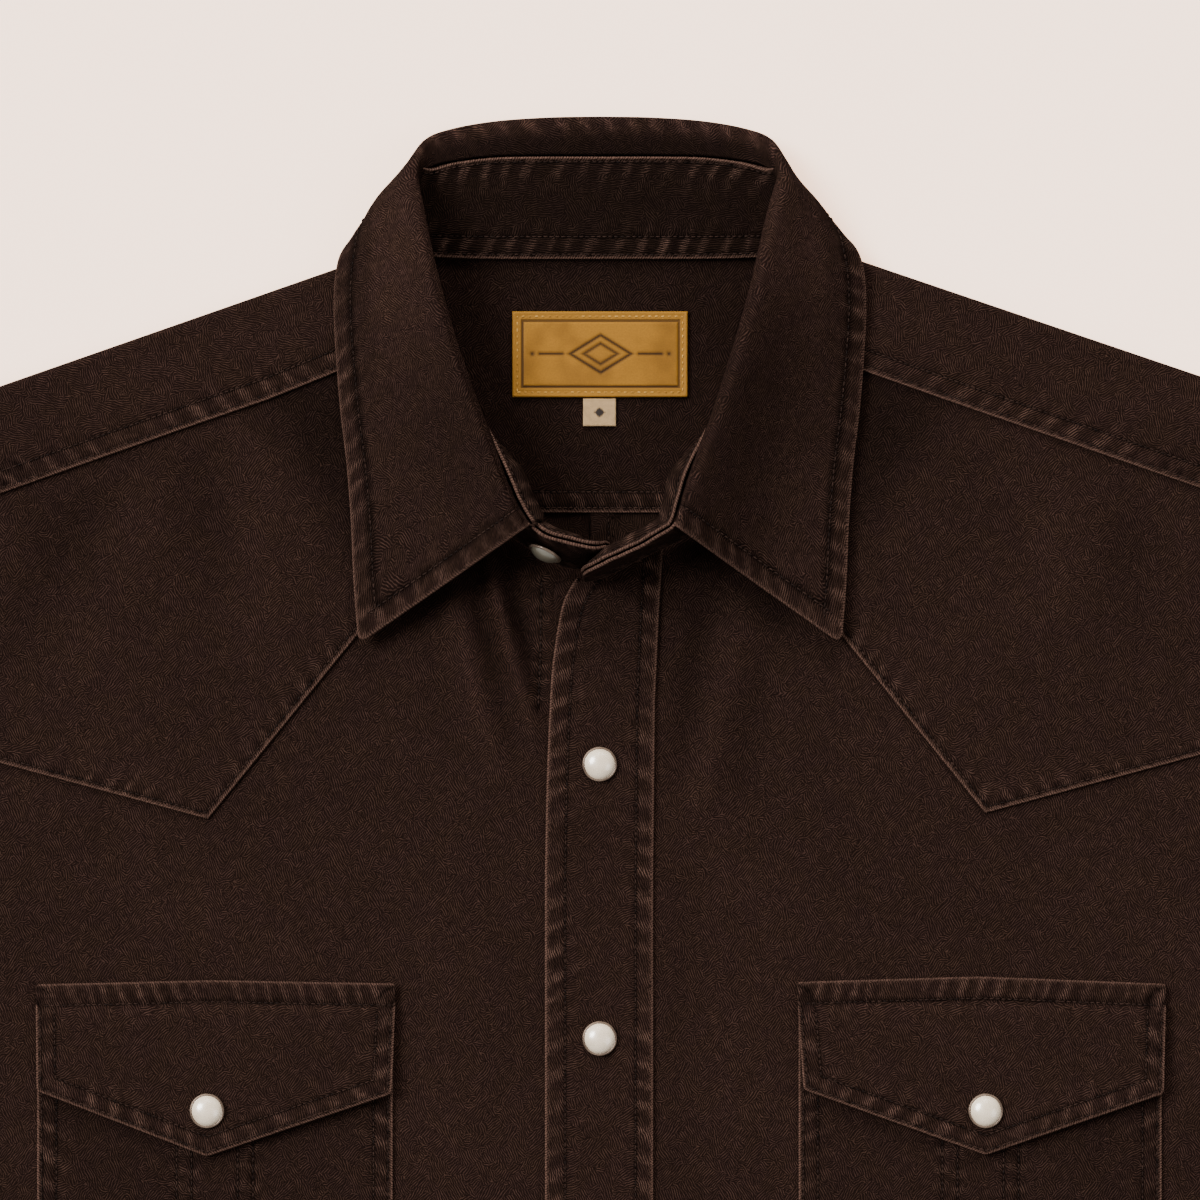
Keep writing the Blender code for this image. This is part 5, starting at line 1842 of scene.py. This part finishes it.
    def masks(self, at: Array, girth: Array) -> dict[str, Array]:
        """Rope, pucker and groove masks of the tube, with the height that they add."""
        made = {key: 0 * girth for key in ("rope", "pucker", "groove", "height", "drawn")}
        made |= {"along": girth, "tone": 0 * girth + 1, "across": 0 * girth + FAR_ACROSS}
        for row, strength in self.spots(at):
            d = np.abs(at - row)[:, None]
            wave = np.sin(2 * math.pi * girth / self.pucker_pitch + 1.4 * wander(girth / 8, row))
            room = hump(d, 0, 5.0) * strength
            made["pucker"] += room * wave
            made["groove"] = np.maximum(made["groove"], hump(d, 0, 0.9))
            made["height"] += 0.22 * room * wave - 0.2 * hump(d, 0, 0.9)
        for end in (at[0], at[-1]) if self.worn_ends else ():
            far = np.abs(at - end)[:, None]
            made["rope"] = np.maximum(made["rope"], 1 - ease(3, 4, far))
            made["across"] = np.minimum(made["across"], far)
        return made

    def thread(self, name: str, upper: Array, at: Array) -> Item:
        """Stitches across the shown face of the tube, and down the back seam of a sleeve."""
        needle = Needle(Cloth(name, np.zeros((3, 2)), level(0), []), *Cloth.stitch)
        lines = []
        for row, _ in self.spots(at):
            share = np.interp(row, at, np.arange(len(at)))
            k = min(int(share), len(at) - 2)
            lines.append(upper[k] * (1 - share + k) + upper[k + 1] * (share - k))
        if self.is_sleeve:
            lines += [upper[8:, place] for place in (5, 9)]
        for line in lines:
            marks = np.arange(4.0, lengths(line)[-1] - 4.0, needle.pitch)
            centres = [needle.read(line, marks + share * needle.length) + (0, 0, lift - 0.08)
                       for share, lift in ((-0.5, -0.12), (-0.25, 0.12), (0.25, 0.12), (0.5, -0.12))]
            needle.parts.append(needle.capsules(centres, [np.tile((0.0, 0.0, 1.0), (len(marks), 1))] * 4))
        return install(needle.thread(name), name)


@dataclass
class Sleeve:
    """One sleeve and its cuff."""

    side: Side
    cuff_wall: float = 1.4

    def build(self) -> None:
        """Makes the sleeve and the cuff."""
        Tube("sleeve", self.side, SLEEVE, SLEEVE_RISE, WALL, 34, "front", ((-1.8, 0.2),)).build()
        Tube("cuff", self.side, CUFF, CUFF_RISE, self.cuff_wall, 46, "sleeve",
             ((1.7, 0.8), (7.5, 0.5), (-1.7, 1.0), (-6.5, 0.6)), worn_ends=True).build()


# ---- snaps and labels


@dataclass
class SnapSet:
    """Pearl snaps: rolled metal rim, pearl dome, pressed into the cloth."""

    radius: float = 5.73
    steps: int = 56
    # profiles from the flange up: share of the radius, and height
    rim: Points = ((0.90, 0.30), (0.985, 0.30), (1.0, 0.62), (0.985, 0.98), (0.95, 1.14),
                                            (0.90, 1.12), (0.862, 0.92))
    dome: Points = ((0.845, 1.2), (0.78, 1.66), (0.68, 2.12), (0.54, 2.56), (0.38, 2.88),
                                             (0.2, 3.06), (0.08, 3.12))
    foot: float = 0.30
    crown: float = 3.13

    def build(self) -> None:
        """Makes every snap of the shirt."""
        top = FRONT_Z + 3 * LAYER - 0.2
        for k in range(FRONT_SNAPS):
            self.snap(f"snap_front_{k + 1}", (-0.1, SNAP_TOP_Y - SNAP_PITCH * k, top))
        for side, x in ((Side.LEFT, 127.0), (Side.RIGHT, -129.4)):
            self.snap(side.piece("snap_flap"), (x, FLAP_SNAP_Y, top + 1.7))
        out = unit(np.array([-0.42, -0.86, 0.24]))
        # painted shade: the stand snap's dome gets a dark copy of the pearl finish for the shadow it sits in under
        # the collar
        self.snap("snap_stand", np.array([-17.2, 149.0, 18.9]) + out * 1.3, out,
                  Pearl("pearl_shaded", (106.0, 100.0, 84.0), (92.0, 86.0, 72.0)))
        for side in Side:
            for k, (x, y) in enumerate(((538.0, -352.0), (554.0, -375.0))):
                self.snap(f"{side.piece('snap_cuff')}_{k + 1}", (x * side.value, y, CUFF_RISE - 0.1))
        log.info("%d snaps", FRONT_SNAPS + 7)

    def snap(self, node: str, at: Sequence[float], out: Sequence[float] = (0, 0, 1), cap: Pearl = Pearl()) -> None:
        """One snap, as a rim and a dome in one piece.

        Args:
            node: the solid it stands for.
            at: where its flange sits.
            out: the way it faces.
            cap: the finish of its dome.
        """
        turn = np.linspace(0, 2 * math.pi, self.steps, endpoint=False)
        profile = (*self.rim, *self.dome)
        rings = [np.column_stack([np.cos(turn) * r * self.radius, np.sin(turn) * r * self.radius, 0 * turn + z])
                 for r, z in profile]
        faces = capped(len(profile), self.steps)
        points = np.vstack([(0, 0, self.foot), *rings, (0, 0, self.crown)])
        item = mesh_of(node + "_cap", points, faces, SnapRim(), cap)
        pearl = np.arange(len(faces)) >= self.steps * (2 * len(self.rim) - 1)
        item.data.polygons.foreach_set("material_index", pearl.astype(np.int32))
        item.location = Vector(at) * MM
        item.rotation_euler = facing(out)
        install(item, node)


@dataclass
class Patch(Cloth):
    """The leather neck patch: a pressed frame line, an edge row of thread and a plain lozenge ornament."""

    frame_line: Box = (-25.7, 202.4, 26.1, 224.3)

    def off_frame(self, flat: Array) -> tuple[Array, Array, Array]:
        """Places from the middle of the frame, and how far outside its line they lie."""
        x0, y0, x1, y1 = self.frame_line
        x, y = flat[:, 0] - (x0 + x1) / 2, flat[:, 1] - (y0 + y1) / 2
        return x, y, np.maximum(np.abs(x) - (x1 - x0) / 2, np.abs(y) - (y1 - y0) / 2)

    def pressed(self, flat: Array) -> Array:
        """How far each point lies in a pressed line."""
        x, y, box = self.off_frame(flat)
        gem = np.abs(x) / 10.0 + np.abs(y) / 6.2
        lines = [1 - ease(0.34, 0.56, np.abs(box)), *(share * np.exp(-((gem - size) * 5.2 / 0.55) ** 2)
                                                       for size, share in ((1, 1), (0.55, 0.9)))]
        for sign in (1, -1):
            lines += [hump(y, 0, 0.5) * ease(11.8, 12.4, sign * x) * (1 - ease(20.4, 21, sign * x)),
                      np.exp(-((x * sign - 22.6) ** 2 + y ** 2) / 0.55)]
        return np.max(lines, axis=0)

    def marks(self, flat: Array) -> dict[str, Array]:
        """Pressed lines are dark in the leather; the band outside the frame is lighter."""
        return {"groove": self.pressed(flat), "tone": 1 - ease(-0.1, 0.5, self.off_frame(flat)[2])}

    def build(self) -> None:
        """Presses the lines, then makes the patch."""
        self.relief = lambda xy: -0.22 * self.pressed(xy) + 0.05 * np.sin(xy[:, 0] / 5.2) * np.sin(xy[:, 1] / 4.1)
        super().build()


@dataclass
class Tag(Cloth):
    """The small woven tag with one plain lozenge mark."""

    def marks(self, flat: Array) -> dict[str, Array]:
        """The lozenge woven in dark yarn."""
        gem = np.abs(flat[:, 0] + 0.15) / 1.9 + np.abs(flat[:, 1] - 194.0) / 1.9
        return {"groove": 1 - ease(0.82, 1.08, gem)}


@dataclass
class NeckLabels:
    """The leather patch and the woven tag below it."""

    patch_box: Box = (-29.0, 199.0, 29.0, 227.4)
    tag_box: Box = (-5.6, 189.4, 5.3, 198.6)

    @staticmethod
    def corners(box: Box, out: float = 0.0) -> Array:
        """The corners of a box, moved out."""
        x0, y0, x1, y1 = np.array(box) + np.array([-1, -1, 1, 1]) * out
        return np.array([(x0, y0), (x1, y0), (x1, y1), (x0, y1)])

    def build(self) -> None:
        """Makes both labels."""
        patch, tag = self.corners(self.patch_box), self.corners(self.tag_box)
        fine = [divide([*ring, ring[0]], 0.45)
                for ring in (self.corners(Patch.frame_line, d) for d in (-0.56, -0.34, 0.0, 0.34, 0.56))]
        Patch("neck_patch", joined(patch), level(WALL + GAP + 0.6),
              [Seam([*patch, patch[0]], rows=(1.65,), band=1.6, lift=0.03, rope=0.8, pitch=5)],
              None, Leather(), Slot.LEATHER, wall=1.2, fine=0.62, rests_on=("back_yoke",), whole=True,
              spool=CREAM, stitch=(1.15, 2.2, 0.2), extra=fine).build()
        Tag("size_tag", joined(tag), level(WALL + GAP + 0.5),
            [Seam(tag[[3, 2]], rows=(0.9,), band=1.2, lift=0.02, rope=0.0)],
            None, Tape(), Slot.TAPE, wall=0.9, fine=0.5, rests_on=("back_yoke",), whole=True,
            spool=None, turned=1.6).build()
        log.info("neck patch and tag")


# ---- studio


def facing(toward: Sequence[float]) -> Euler:
    """The turn that points a piece's Z axis that way."""
    return Vector(toward).to_track_quat("Z", "Y").to_euler()


@dataclass
class Studio:
    """Pale floor, soft light from the upper left, and the camera straight above."""

    centre_y: float = 132.0
    lens: float = 180.0
    film: float = 36.0
    width: float = 396.0  # how much of the shirt the camera sees
    reach: float = 6000.0  # how far the floor runs
    floor_z: float = -0.4
    sun: float = 4.4
    sky: float = 0.38

    def build(self) -> None:
        """Makes the floor, the lights and the camera."""
        corners = np.array([(x * self.reach, y * self.reach, self.floor_z)
                            for x, y in ((-1, -1), (1, -1), (1, 1), (-1, 1))])
        floor = mesh_of("floor", corners, np.array([(0, 1, 2), (0, 2, 3)]), PaleFloor())
        floor.visible_diffuse = floor.visible_glossy = False
        self.lamp("key", (-0.86, 0.42, 1.0), self.sun, 30.0)
        self.lamp("top", (0.05, 1.0, 0.62), self.sun * 0.8, 30.0).visible_glossy = False
        self.lamp("fill", (0.95, -0.34, 1.0), self.sun * 0.12, 34.0)
        world = bpy.data.worlds.new("studio")
        world.use_nodes = True
        graph = Graph(world.node_tree)
        graph.fed(graph.tree.nodes["Background"], Color=(1.0, 0.985, 0.97, 1), Strength=self.sky)
        bpy.context.scene.world = world
        data = bpy.data.cameras.new("camera")
        data.lens, data.sensor_width = self.lens, self.film
        camera = placed("camera", data)
        camera.location = (0.0, self.centre_y * MM, (self.width * self.lens / self.film + 5.0) * MM)
        bpy.context.scene.camera = camera
        log.info("studio")

    @staticmethod
    def lamp(name: str, toward: tuple[float, float, float], power: float, spread: float) -> Item:
        """A far soft light.

        Args:
            name: its name.
            toward: where it stands, seen from the shirt.
            power: its strength.
            spread: how wide it is, in degrees.

        Returns:
            The light.
        """
        data = bpy.data.lights.new(name, "SUN")
        data.energy, data.angle = power, math.radians(spread)
        item = placed(name, data)
        item.rotation_euler = facing(toward)
        return item


def main() -> None:
    """Builds the shirt piece by piece."""
    logging.basicConfig(level=logging.INFO, format="%(message)s", stream=sys.stdout, force=True)
    Studio().build()
    Back().build()
    Front(Side.LEFT, *LEFT_POCKET).build()
    Front(Side.RIGHT, *RIGHT_POCKET).build()
    Placket().build()
    Collar().build()
    for side in Side:
        Sleeve(side).build()
    NeckLabels().build()
    SnapSet().build()


if __name__ == "__main__":
    main()
